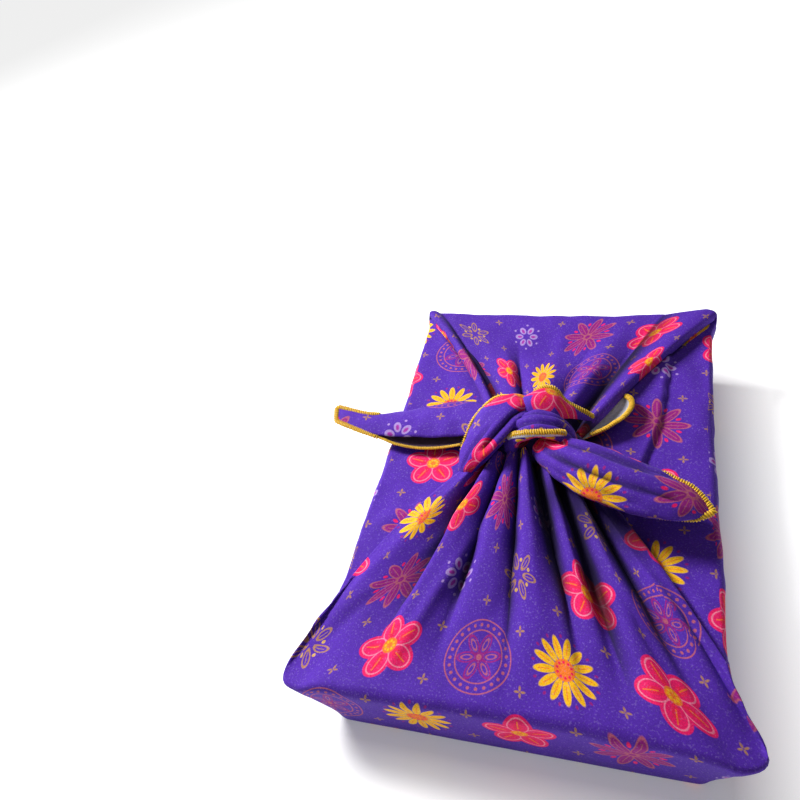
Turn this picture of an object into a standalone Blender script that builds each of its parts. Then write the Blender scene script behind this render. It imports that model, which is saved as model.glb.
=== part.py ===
"""A furoshiki: one square of printed cotton tied round a flat box with a square knot on top.

Tables are in millimetres and degrees, seen from above with +Y away from the tied front.
Meshes are written in metres, with +Z up and the origin under the middle of the box.
"""
import math

import bmesh
import bpy
from mathutils import Vector

MM = 0.001

# The box that gives the parcel its size
BOX_WIDTH = 200.0
BOX_LENGTH = 290.0
BOX_TOP = 50.0

# Where it meets the floor, the cloth stands inside the rim and turns under
FLOOR_INSET = 2.5
FLOOR_CORNER = 9.0
FLOOR_ROUND = 3.0

# Columns between two folds or panels, and rows from the neck to the rim and down the side
FOLD_COLUMNS = 4
PANEL_COLUMNS = 8
TOP_ROWS = (0.0, 0.05, 0.10, 0.16, 0.23, 0.31, 0.40, 0.50, 0.61, 0.72, 0.82, 0.91, 1.0)
EDGE_ROWS = 3
SIDE_ROWS = (0.25, 0.5, 0.75, 1.0)

# The parcel's upper rim, anticlockwise: how far it rises over the box and how round it is.
# The two ears are folded corners of the cloth, pinched flat past the box's near corners.
RIM = [
    # name, x, y, rise, edge radius
    ("near_left_seam", -100.0, -95.0, 0.0, 5.0),
    ("left_ear_root", -109.5, -117.0, -3.5, 4.0),
    ("left_ear_tip", -118.0, -139.5, -9.0, 2.0),
    ("left_ear_front", -108.0, -147.0, -7.0, 3.0),
    ("near_left", -90.0, -147.0, -1.5, 5.0),
    ("near_middle_left", -40.0, -147.5, 0.5, 6.0),
    ("near_middle_right", 35.0, -146.5, 0.5, 6.0),
    ("near_right", 86.0, -148.0, -2.0, 5.0),
    ("right_ear_front", 105.0, -148.5, -8.0, 3.0),
    ("right_ear_tip", 115.5, -140.0, -10.0, 2.0),
    ("right_ear_root", 106.0, -123.0, -3.5, 4.0),
    ("near_right_seam", 100.5, -105.0, 0.0, 5.0),
    ("right_near", 100.0, -45.0, 0.0, 5.0),
    ("right_middle", 99.0, 25.0, 0.0, 5.0),
    ("right_far", 100.0, 95.0, 0.0, 5.0),
    ("right_knob", 101.0, 135.0, 0.5, 4.5),
    ("far_right_seam", 104.5, 149.0, 2.0, 4.0),
    ("far_right_corner", 100.0, 154.0, 3.5, 4.0),
    ("far_right", 86.0, 154.5, 4.0, 5.0),
    ("far_middle", 0.0, 152.5, 4.5, 6.0),
    ("far_left", -84.0, 154.0, 4.0, 5.0),
    ("far_left_corner", -98.0, 154.0, 3.5, 4.0),
    ("far_left_seam", -102.5, 149.0, 1.5, 4.0),
    ("left_far", -100.5, 130.0, 0.0, 5.0),
    ("left_middle", -99.0, 40.0, 0.0, 5.0),
    ("left_near", -100.0, -45.0, 0.0, 5.0),
]

# Every fold of the cloth on top, anticlockwise round the knot. It leaves the knot at its
# neck point and runs to a place on the rim, given as a rim point and a distance past it.
# Reach is the share of that way on which it still stands up. Bow bends it sideways.
FOLDS = [
    # name, kind, neck x, neck y, rim point, past it, height at the neck, reach, bow
    ("near_left_roll", "crest", -35.0, 2.0, "near_left_seam", 3.0, 11.0, 1.15, -5.0),
    ("left_ear", "crest", -33.0, -1.0, "left_ear_tip", 0.0, 13.0, 0.95, -1.0),
    ("near_valley_a", "valley", -29.5, -2.5, "near_left", 12.0, 3.0, 0.60, 0.0),
    ("near_pleat_a", "crest", -24.5, -3.0, "near_left", 21.0, 17.0, 0.90, -2.0),
    ("near_valley_b", "valley", -19.5, -3.5, "near_middle_left", 0.0, 9.0, 0.50, -1.0),
    ("near_pleat_b", "crest", -15.5, -3.5, "near_middle_left", 15.0, 17.0, 0.75, 0.0),
    ("near_valley_c", "valley", -12.0, -3.5, "near_middle_left", 40.0, 1.0, 0.70, 0.0),
    ("near_pleat_c", "crest", -7.0, -4.5, "near_middle_left", 60.0, 19.0, 0.85, 0.0),
    ("near_valley_d", "valley", -2.0, -4.0, "near_middle_right", 8.0, 1.0, 0.75, 0.0),
    ("near_pleat_d", "crest", 3.0, -4.5, "near_middle_right", 21.0, 16.0, 0.60, 0.0),
    ("near_valley_e", "valley", 7.5, -4.0, "near_right", -20.0, 8.0, 0.55, 0.0),
    ("near_pleat_e", "crest", 12.5, -4.0, "near_right", -4.0, 18.0, 1.00, 1.0),
    ("near_valley_f", "valley", 17.0, -3.5, "right_ear_front", -4.0, 3.0, 0.60, 0.0),
    ("right_ear", "crest", 20.0, -2.5, "right_ear_tip", 0.0, 12.0, 0.90, -1.0),
    ("near_right_roll", "crest", 22.5, -0.5, "near_right_seam", -3.0, 13.0, 1.20, 2.5),
    ("right_panel_near", "panel", 24.0, 2.0, "near_right_seam", 3.0, 2.0, 0.50, 2.5),
    ("right_panel", "panel", 27.0, 12.0, "right_middle", 0.0, 2.0, 0.50, 0.0),
    ("right_panel_far", "panel", 23.5, 22.0, "far_right_seam", -4.0, 2.0, 0.50, 6.0),
    ("far_right_roll", "crest", 21.5, 24.0, "far_right_seam", 2.0, 15.0, 1.60, 6.0),
    ("far_valley_a", "valley", 15.5, 26.0, "far_right", 17.0, 5.0, 0.70, 4.0),
    ("far_pleat_a", "crest", 9.5, 27.5, "far_right", 30.0, 14.0, 0.75, 5.0),
    ("far_valley_b", "valley", 2.5, 28.5, "far_right", 46.0, 2.0, 0.85, 8.0),
    ("far_pleat_b", "crest", -4.0, 28.5, "far_middle", 5.0, 13.0, 0.70, 5.0),
    ("far_valley_c", "valley", -10.0, 28.0, "far_middle", 34.0, 7.0, 0.45, 2.0),
    ("far_pleat_c", "crest", -15.5, 26.5, "far_middle", 60.0, 13.0, 0.75, -1.0),
    ("far_valley_d", "valley", -20.5, 24.5, "far_left_corner", -4.0, 4.0, 1.00, -5.0),
    ("far_left_roll", "crest", -24.0, 22.5, "far_left_seam", -3.0, 10.0, 1.60, -7.0),
    ("left_panel_far", "panel", -27.0, 20.5, "far_left_seam", 3.0, 2.0, 0.50, -7.0),
    ("left_panel", "panel", -37.0, 13.0, "left_middle", 20.0, 2.0, 0.50, 0.0),
    ("left_panel_near", "panel", -37.0, 5.0, "near_left_seam", -3.0, 2.0, 0.50, -5.0),
]
CREST_FADE = 1.35
VALLEY_SHARPNESS = 2.2

# The right panel is two layers deep up to this folded edge, then one layer
PLEAT_FOLD = [
    # x, y
    (78.0, 156.0),
    (73.5, 97.0),
    (69.0, 48.0),
    (58.0, 8.0),
    (50.0, -60.0),
]
PLEAT_STEP = 2.2
PLEAT_SOFTNESS = 3.0

# The strands of the knot and the tied ends, each a loft of flattened round sections.
# Half width lies across the strand, half depth stands on it, and roll turns the section.
STRANDS = {
    "core": [
        # x, y, z, half width, half depth, roll
        (-34.0, 8.0, 57.0, 9.0, 8.0, 0.0),
        (-20.0, 10.0, 63.0, 15.5, 13.0, 0.0),
        (-4.0, 11.5, 66.0, 17.5, 15.0, 0.0),
        (11.0, 12.0, 64.0, 16.0, 13.0, 0.0),
        (24.0, 11.5, 58.0, 11.0, 9.0, 0.0),
    ],
    "left_lobe": [
        (-43.0, -6.0, 56.0, 5.0, 4.5, 20.0),
        (-39.5, -2.0, 64.0, 10.0, 6.5, 24.0),
        (-34.0, 4.0, 71.0, 14.0, 8.0, 26.0),
        (-28.5, 12.0, 76.5, 16.0, 8.5, 24.0),
        (-22.5, 22.0, 79.0, 15.0, 8.0, 18.0),
        (-15.0, 31.0, 76.0, 11.5, 7.5, 8.0),
        (-7.0, 37.0, 67.0, 8.0, 6.5, 0.0),
    ],
    "band": [
        (-17.0, 8.0, 66.0, 7.5, 4.5, 0.0),
        (-13.0, 9.0, 77.5, 9.5, 4.5, 0.0),
        (-2.0, 10.0, 84.5, 10.5, 4.5, 0.0),
        (9.0, 10.5, 82.5, 10.0, 4.5, 0.0),
        (16.5, 11.0, 73.5, 8.5, 4.5, 0.0),
        (18.5, 11.0, 62.0, 7.0, 4.5, 0.0),
    ],
    "back_strand": [
        (-17.0, 20.0, 70.0, 8.0, 6.0, 0.0),
        (-10.0, 28.0, 77.0, 9.0, 6.0, -10.0),
        (-1.0, 34.5, 79.5, 9.5, 5.5, -18.0),
        (9.0, 37.0, 76.0, 9.0, 4.5, -20.0),
        (19.0, 36.5, 69.5, 8.0, 3.5, -16.0),
        (30.0, 35.5, 63.0, 6.0, 3.0, -6.0),
    ],
    "left_tail": [
        (-24.0, 10.0, 69.0, 9.0, 5.0, -12.0),
        (-42.0, 16.0, 68.0, 12.0, 4.0, -14.0),
        (-62.0, 18.0, 65.5, 13.0, 3.2, -14.0),
        (-85.0, 19.0, 63.0, 12.0, 2.6, -10.0),
        (-108.0, 23.5, 61.0, 10.0, 2.4, -8.0),
        (-126.0, 30.0, 59.5, 7.5, 2.2, -8.0),
        (-140.0, 35.5, 58.5, 5.0, 2.0, -8.0),
    ],
    "right_tail": [
        (2.0, 7.0, 68.0, 7.5, 6.5, 0.0),
        (14.0, -2.5, 72.5, 13.0, 9.5, 0.0),
        (31.0, -12.5, 74.0, 17.0, 11.5, 0.0),
        (49.0, -20.5, 74.0, 16.5, 11.0, 0.0),
        (66.0, -26.0, 73.5, 15.0, 9.0, 0.0),
        (80.0, -28.5, 72.0, 12.0, 6.0, 0.0),
        (88.5, -30.5, 70.5, 7.0, 3.2, 0.0),
        (93.5, -32.5, 70.0, 1.6, 1.2, 0.0),
    ],
    "hem_curl": [
        (14.0, 22.0, 62.0, 8.0, 3.0, 0.0),
        (26.0, 33.0, 60.5, 9.0, 2.2, 12.0),
        (36.0, 42.0, 60.0, 9.5, 1.8, 20.0),
        (46.0, 51.0, 60.0, 8.0, 1.6, 20.0),
        (52.0, 57.0, 60.0, 4.0, 1.4, 16.0),
    ],
}
STRAND_SIDES = 12
STEPS_PER_SECTION = 2

PRINT_VIOLET = (0.085, 0.022, 0.32, 1.0)
COTTON_ROUGHNESS = 0.85


def clear_scene():
    """Removes what the start-up file holds."""
    for thing in list(bpy.data.objects):
        bpy.data.objects.remove(thing)


def new_collection(name):
    """A collection of that name in the scene."""
    made = bpy.data.collections.new(name)
    bpy.context.scene.collection.children.link(made)
    return made


def cotton():
    """The printed cotton, in the violet of its ground."""
    material = bpy.data.materials.new("printed_cotton")
    material.use_nodes = True
    shader = material.node_tree.nodes["Principled BSDF"]
    shader.inputs["Base Color"].default_value = PRINT_VIOLET
    shader.inputs["Roughness"].default_value = COTTON_ROUGHNESS
    shader.inputs["Metallic"].default_value = 0.0
    return material


def smooth_step(value):
    """Eases from 0 to 1 between 0 and 1."""
    share = min(1.0, max(0.0, value))
    return share * share * (3.0 - 2.0 * share)


def blend(first, second, share):
    """The value at that share of the way from first to second."""
    return first + (second - first) * share


def spline(rows, place, closed=False):
    """A smooth curve through rows of numbers, at a place counted in rows."""
    count = len(rows)
    index = int(math.floor(place))
    share = place - index

    def row(number):
        if closed:
            return rows[number % count]
        return rows[min(count - 1, max(0, number))]

    before, start, end, after = (row(index + step) for step in (-1, 0, 1, 2))
    return [
        0.5
        * (
            2.0 * b
            + (c - a) * share
            + (2.0 * a - 5.0 * b + 4.0 * c - d) * share**2
            + (3.0 * b - 3.0 * c + d - a) * share**3
        )
        for a, b, c, d in zip(before, start, end, after)
    ]


class Rim:
    """The parcel's upper rim, read by the distance along it."""

    SAMPLES = 16

    def __init__(self, table):
        self.names = [row[0] for row in table]
        self.rows = [row[1:] for row in table]
        self.distances = [0.0]
        total = len(table) * self.SAMPLES
        points = [spline(self.rows, step / self.SAMPLES, True) for step in range(total + 1)]
        for first, second in zip(points, points[1:]):
            run = math.hypot(second[0] - first[0], second[1] - first[1])
            self.distances.append(self.distances[-1] + run)
        self.length = self.distances[-1]

    def distance_of(self, name, past):
        """The distance along the rim of a place past a named rim point."""
        return self.distances[self.names.index(name) * self.SAMPLES] + past

    def place_at(self, distance):
        """The place in the table, counted in rows, at a distance along the rim."""
        wrapped = distance % self.length
        low = 0
        high = len(self.distances) - 1
        while high - low > 1:
            middle = (low + high) // 2
            if self.distances[middle] <= wrapped:
                low = middle
            else:
                high = middle
        run = self.distances[high] - self.distances[low]
        return (low + (wrapped - self.distances[low]) / run) / self.SAMPLES

    def at(self, distance):
        """x, y, rise and edge radius at a distance along the rim."""
        return spline(self.rows, self.place_at(distance), True)


def floor_point(x, y, inset):
    """The place under a rim point on the round-cornered outline that meets the floor."""
    straight_x = BOX_WIDTH / 2.0 - FLOOR_INSET - FLOOR_CORNER
    straight_y = BOX_LENGTH / 2.0 - FLOOR_INSET - FLOOR_CORNER
    middle_x = min(straight_x, max(-straight_x, x))
    middle_y = min(straight_y, max(-straight_y, y))
    away = math.hypot(x - middle_x, y - middle_y)
    share = (FLOOR_CORNER - inset) / away
    return middle_x + (x - middle_x) * share, middle_y + (y - middle_y) * share


def pleat_layer(x, y):
    """The height of the extra layer on the right panel, left of its folded edge."""
    for (x_far, y_far), (x_near, y_near) in zip(PLEAT_FOLD, PLEAT_FOLD[1:]):
        if y_near <= y <= y_far:
            edge = blend(x_far, x_near, (y_far - y) / (y_far - y_near))
            return PLEAT_STEP * smooth_step((edge - x) / PLEAT_SOFTNESS)
    return 0.0


def read_folds(rim):
    """The fold table as dictionaries, each rim place as a distance that never falls back."""
    keys = ("name", "kind", "neck_x", "neck_y", "distance", "height", "reach", "bow")
    folds = []
    for name, kind, neck_x, neck_y, point, past, height, reach, bow in FOLDS:
        distance = rim.distance_of(point, past)
        folds.append(dict(zip(keys, (name, kind, neck_x, neck_y, distance, height, reach, bow))))
    for before, fold in zip(folds, folds[1:]):
        while fold["distance"] < before["distance"] - rim.length / 2.0:
            fold["distance"] += rim.length
    return folds


def columns_of(folds, rim):
    """Every column round the parcel: its two folds and its share of the way between them."""
    columns = []
    first_again = dict(folds[0], distance=folds[0]["distance"] + rim.length)
    for fold, following in zip(folds, folds[1:] + [first_again]):
        panels = (fold["kind"] == "panel", following["kind"] == "panel")
        if all(panels):
            steps = PANEL_COLUMNS
        elif any(panels):
            steps = 1
        else:
            steps = FOLD_COLUMNS
        for step in range(steps):
            columns.append((fold, following, step / steps))
    return columns


def fold_height(fold, share):
    """How high a fold stands above the box at a share of its way to the rim."""
    return fold["height"] * max(0.0, 1.0 - share / fold["reach"]) ** CREST_FADE


def column_height(first, second, between, share):
    """The cloth's height between two folds: round on a crest and sharp in a valley."""
    start = fold_height(first, share)
    end = fold_height(second, share)
    if first["kind"] == "crest" and second["kind"] == "valley":
        return blend(start, end, between**VALLEY_SHARPNESS)
    if first["kind"] == "valley" and second["kind"] == "crest":
        return blend(end, start, (1.0 - between) ** VALLEY_SHARPNESS)
    return blend(start, end, smooth_step(between))


def column_points(column, rim):
    """The points of one column, from the neck over the rim and down to the floor."""
    first, second, between = column

    def mixed(key):
        return blend(first[key], second[key], between)

    x, y, rise, radius = rim.at(mixed("distance"))
    whole = math.hypot(x - mixed("neck_x"), y - mixed("neck_y"))
    out_x = (x - mixed("neck_x")) / whole
    out_y = (y - mixed("neck_y")) / whole
    run = whole - radius
    on_right_panel = first["kind"] == second["kind"] == "panel" and x > 0.0
    points = []
    for share in TOP_ROWS:
        sideways = mixed("bow") * 4.0 * share * (1.0 - share)
        px = mixed("neck_x") + out_x * run * share - out_y * sideways
        py = mixed("neck_y") + out_y * run * share + out_x * sideways
        height = BOX_TOP + rise * smooth_step((share - 0.6) / 0.4)
        height += column_height(first, second, between, share)
        if on_right_panel:
            height += pleat_layer(px, py) * smooth_step((1.0 - share) / 0.1)
        points.append((px, py, height))
    rim_height = column_height(first, second, between, 1.0)
    for step in range(1, EDGE_ROWS + 1):
        turn = math.radians(90.0) * step / EDGE_ROWS
        inward = radius * (1.0 - math.sin(turn))
        sink = (radius + rim_height) * (1.0 - math.cos(turn))
        height = BOX_TOP + rise + rim_height - sink
        points.append((x - out_x * inward, y - out_y * inward, height))
    floor_x, floor_y = floor_point(x, y, 0.0)
    for share in SIDE_ROWS:
        height = blend(BOX_TOP + rise - radius, FLOOR_ROUND, share)
        points.append((blend(x, floor_x, share), blend(y, floor_y, share), height))
    points.append((*floor_point(x, y, FLOOR_ROUND), 0.0))
    return points


def mesh_object(name, points, faces, collection):
    """A new object from points in millimetres, with its faces turned outwards."""
    work = bmesh.new()
    corners = [work.verts.new(Vector(point) * MM) for point in points]
    for face in faces:
        work.faces.new([corners[index] for index in face])
    bmesh.ops.recalc_face_normals(work, faces=work.faces)
    mesh = bpy.data.meshes.new(name)
    work.to_mesh(mesh)
    work.free()
    made = bpy.data.objects.new(name, mesh)
    collection.objects.link(made)
    return made


def centre_of(ring):
    """The mean of a ring's points."""
    return tuple(sum(values) / len(ring) for values in zip(*ring))


def loft(rings):
    """Points and faces of a closed solid through rings of equal length, fanned shut."""
    around = len(rings[0])
    last = (len(rings) - 1) * around
    points = [point for ring in rings for point in ring]
    points += [centre_of(rings[0]), centre_of(rings[-1])]
    start_centre = len(points) - 2
    end_centre = len(points) - 1
    faces = []
    for number in range(around):
        following = (number + 1) % around
        faces.append((following, number, start_centre))
        for start in range(0, last, around):
            near = (start + number, start + following)
            far = (start + around + following, start + around + number)
            faces.append(near + far)
        faces.append((last + number, last + following, end_centre))
    return points, faces


def make_parcel(collection):
    """The cloth round the box: panels, gathered flaps, ears, sides and base, as one solid."""
    rim = Rim(RIM)
    columns = [column_points(column, rim) for column in columns_of(read_folds(rim), rim)]
    points, faces = loft(list(zip(*columns)))
    return mesh_object("wrap", points, faces, collection)


def strand_sections(rows):
    """Round sections along a strand, each turned across the way that the strand runs."""
    rings = []
    steps = (len(rows) - 1) * STEPS_PER_SECTION
    for step in range(steps + 1):
        place = step / STEPS_PER_SECTION
        x, y, z, half_width, half_depth, roll = spline(rows, place)
        ahead = Vector(spline(rows, min(place + 0.05, len(rows) - 1.0))[:3])
        behind = Vector(spline(rows, max(place - 0.05, 0.0))[:3])
        along = (ahead - behind).normalized()
        across = along.cross(Vector((0.0, 0.0, 1.0))).normalized()
        upward = across.cross(along)
        turn = math.radians(roll)
        wide = across * math.cos(turn) + upward * math.sin(turn)
        deep = upward * math.cos(turn) - across * math.sin(turn)
        ring = []
        for side in range(STRAND_SIDES):
            angle = 2.0 * math.pi * side / STRAND_SIDES
            offset = wide * (half_width * math.cos(angle))
            offset += deep * (half_depth * math.sin(angle))
            ring.append(Vector((x, y, z)) + offset)
        rings.append(ring)
    return rings


def make_strand(name, rows, collection):
    """One strand of the knot or one tied end, as a helper that is joined to the cloth."""
    points, faces = loft(strand_sections(rows))
    made = mesh_object(name, points, faces, collection)
    made.hide_render = True
    made.display_type = "WIRE"
    return made


def join_strand(wrap, strand):
    """Joins a strand to the cloth, which it is a part of."""
    union = wrap.modifiers.new("join_" + strand.name, "BOOLEAN")
    union.operation = "UNION"
    union.solver = "EXACT"
    union.object = strand


def main():
    clear_scene()
    shown = new_collection("furoshiki")
    helpers = new_collection("helpers")
    wrap = make_parcel(shown)
    wrap.data.materials.append(cotton())
    for name, rows in STRANDS.items():
        join_strand(wrap, make_strand(name, rows, helpers))
    wrap.data.shade_smooth()


main()
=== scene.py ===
# %% [markdown]
# # A furoshiki tied round a flat box
# One square of printed cotton is folded round a box, gathered, and tied with a square knot.
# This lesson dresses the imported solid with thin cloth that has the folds, the layers, the print
# and the stitched hem of the real one. Tables are in millimetres, seen from above, and every
# mesh is written in metres.

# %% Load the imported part
import math

import bmesh
import bpy
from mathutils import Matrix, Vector, noise


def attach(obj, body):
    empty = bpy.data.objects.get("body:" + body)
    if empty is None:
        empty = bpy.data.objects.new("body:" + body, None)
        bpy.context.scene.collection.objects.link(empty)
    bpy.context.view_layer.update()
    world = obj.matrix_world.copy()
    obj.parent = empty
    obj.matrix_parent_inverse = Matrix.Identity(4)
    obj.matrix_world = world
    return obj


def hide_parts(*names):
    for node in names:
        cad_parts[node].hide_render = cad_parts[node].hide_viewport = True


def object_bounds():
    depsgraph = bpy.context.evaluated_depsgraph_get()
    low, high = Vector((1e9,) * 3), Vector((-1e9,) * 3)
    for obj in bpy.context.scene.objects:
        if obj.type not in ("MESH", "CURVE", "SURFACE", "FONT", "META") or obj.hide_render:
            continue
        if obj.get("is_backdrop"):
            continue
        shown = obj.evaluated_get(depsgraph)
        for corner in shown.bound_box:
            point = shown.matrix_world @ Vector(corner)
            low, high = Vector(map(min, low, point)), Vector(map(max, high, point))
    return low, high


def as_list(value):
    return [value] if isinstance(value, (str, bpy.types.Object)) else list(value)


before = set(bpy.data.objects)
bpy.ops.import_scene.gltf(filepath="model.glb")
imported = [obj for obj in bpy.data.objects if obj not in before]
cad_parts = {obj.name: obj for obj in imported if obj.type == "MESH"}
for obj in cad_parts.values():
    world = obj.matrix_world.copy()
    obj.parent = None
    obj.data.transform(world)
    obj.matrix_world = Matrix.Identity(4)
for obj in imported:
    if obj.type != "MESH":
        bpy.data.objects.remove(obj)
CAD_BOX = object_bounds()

MM = 0.001
print("the solid's box:", [[round(value, 4) for value in corner] for corner in CAD_BOX])

# %% [markdown]
# ## Rows of points
# All cloth here is made of rows of points with faces between them. Each corner of a face knows
# its flat place in the cloth, for the print. Each point knows the shade painted into its colour,
# from how deep it lies in a fold, and whether soft waves may move it. One small class keeps
# these together.


# %% Mesh helpers
def add_object(name, data):
    """A new object in the scene, at the origin."""
    made = bpy.data.objects.new(name, data)
    bpy.context.scene.collection.objects.link(made)
    return made


def quads(first, second):
    """The corners of each face between two neighbouring rows."""
    for number in range(len(first) - 1):
        yield first[number], first[number + 1], second[number + 1], second[number]


class ClothMesh:
    """A piece of cloth in the making: rows of points and the faces between them."""

    def __init__(self):
        self.work = bmesh.new()
        self.flat = self.work.loops.layers.uv.new("cloth")
        self.relief = self.work.verts.layers.float.new("relief")
        self.painted_shade = self.work.verts.layers.float.new("painted_shade")

    def row(self, places, painted_shades=(), relief=0.0):
        """New points in millimetres, with the shade painted on each and whether waves move them."""
        made = [self.work.verts.new(place * MM) for place in places]
        for vertex in made:
            vertex[self.relief] = relief
        for vertex, painted_shade in zip(made, painted_shades):
            vertex[self.painted_shade] = painted_shade
        return made

    def join(self, first, second, flat_first, flat_second):
        """Smooth faces between two rows, with each corner's flat place in millimetres."""
        for corners, flats in zip(quads(first, second), quads(flat_first, flat_second)):
            face = self.work.faces.new(corners)
            face.smooth = True
            for loop, flat in zip(face.loops, flats):
                loop[self.flat].uv = Vector(flat) * MM

    def fan(self, ring, middle, seen_from_above=False):
        """Smooth faces from a ring, ended by its first point again, to one middle point."""
        centre = self.work.verts.new(middle)
        for first, second in zip(ring, ring[1:]):
            face = self.work.faces.new((first, centre, second))
            face.smooth = True
            if seen_from_above:
                for loop in face.loops:
                    loop[self.flat].uv = loop.vert.co.xy

    def finish(self, name, closed):
        """The piece as an object: a closed skin's faces point out, and a sheet's point up."""
        if closed:
            bmesh.ops.recalc_face_normals(self.work, faces=self.work.faces)
        mesh = bpy.data.meshes.new(name)
        self.work.to_mesh(mesh)
        self.work.free()
        if not closed and sum(polygon.normal.z for polygon in mesh.polygons) < 0.0:
            mesh.flip_normals()
        return add_object(name, mesh)


print("layers of a cloth mesh: cloth, relief, hollow")

# %% [markdown]
# ## The camera
# The photograph looks down on the parcel from in front and to the right, a little rolled. The
# camera could be placed by eye. Here its place and turn come from a fit to the parcel's
# corners, so that the render can be laid beside the photograph.

# %% Camera
CAMERA_PLACE = (0.0546, -0.2885, 0.397)
CAMERA_TURN = (46.8, 10.6, 14.5)
FOCAL_PIXELS = 745.0
PICTURE_PIXELS = 800.0
SENSOR_WIDTH = 36.0
NEAREST_SEEN = 0.01


def make_camera():
    """The camera at the photograph's viewing angle."""
    lens = bpy.data.cameras.new("view")
    lens.sensor_width = SENSOR_WIDTH
    lens.lens = FOCAL_PIXELS / PICTURE_PIXELS * SENSOR_WIDTH
    lens.clip_start = NEAREST_SEEN
    camera = add_object("view", lens)
    camera.location = CAMERA_PLACE
    camera.rotation_euler = [math.radians(turn) for turn in CAMERA_TURN]
    bpy.context.scene.camera = camera
    return lens


print("lens:", round(make_camera().lens, 2), "mm")

# %% [markdown]
# ## The rim and the folds
# On the real parcel the box decides where the cloth bends over, and the knot decides where its
# folds meet. A cloth simulation could find such folds, but not these ones. So the rim is a
# table of points, and each fold is a row that leaves the knot at one place and runs to a place
# on the rim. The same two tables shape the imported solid.

# %% Rim and fold tables
BOX_WIDTH = 200.0
BOX_LENGTH = 290.0
BOX_TOP = 50.0
FLOOR_INSET = 2.5
FLOOR_CORNER = 9.0
FLOOR_ROUND = 3.0

RIM = [
    # name, x, y, rise, edge radius
    ("near_left_seam", -100.0, -95.0, 0.0, 5.0),
    ("left_ear_root", -109.5, -117.0, -3.5, 4.0),
    ("left_ear_tip", -118.0, -139.5, -9.0, 2.0),
    ("left_ear_front", -108.0, -147.0, -7.0, 3.0),
    ("near_left", -90.0, -147.0, -1.5, 5.0),
    ("near_middle_left", -40.0, -147.5, 0.5, 6.0),
    ("near_middle_right", 35.0, -146.5, 0.5, 6.0),
    ("near_right", 86.0, -148.0, -2.0, 5.0),
    ("right_ear_front", 105.0, -148.5, -8.0, 3.0),
    ("right_ear_tip", 115.5, -140.0, -10.0, 2.0),
    ("right_ear_root", 106.0, -123.0, -3.5, 4.0),
    ("near_right_seam", 100.5, -105.0, 0.0, 5.0),
    ("right_near", 100.0, -45.0, 0.0, 5.0),
    ("right_middle", 99.0, 25.0, 0.0, 5.0),
    ("right_far", 100.0, 95.0, 0.0, 5.0),
    ("right_knob", 101.0, 135.0, 0.5, 4.5),
    ("far_right_seam", 104.5, 149.0, 2.0, 4.0),
    ("far_right_corner", 100.0, 154.0, 3.5, 4.0),
    ("far_right", 86.0, 154.5, 4.0, 5.0),
    ("far_middle", 0.0, 152.5, 4.5, 6.0),
    ("far_left", -84.0, 154.0, 4.0, 5.0),
    ("far_left_corner", -98.0, 154.0, 3.5, 4.0),
    ("far_left_seam", -102.5, 149.0, 1.5, 4.0),
    ("left_far", -100.5, 130.0, 0.0, 5.0),
    ("left_middle", -99.0, 40.0, 0.0, 5.0),
    ("left_near", -100.0, -45.0, 0.0, 5.0),
]

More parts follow.
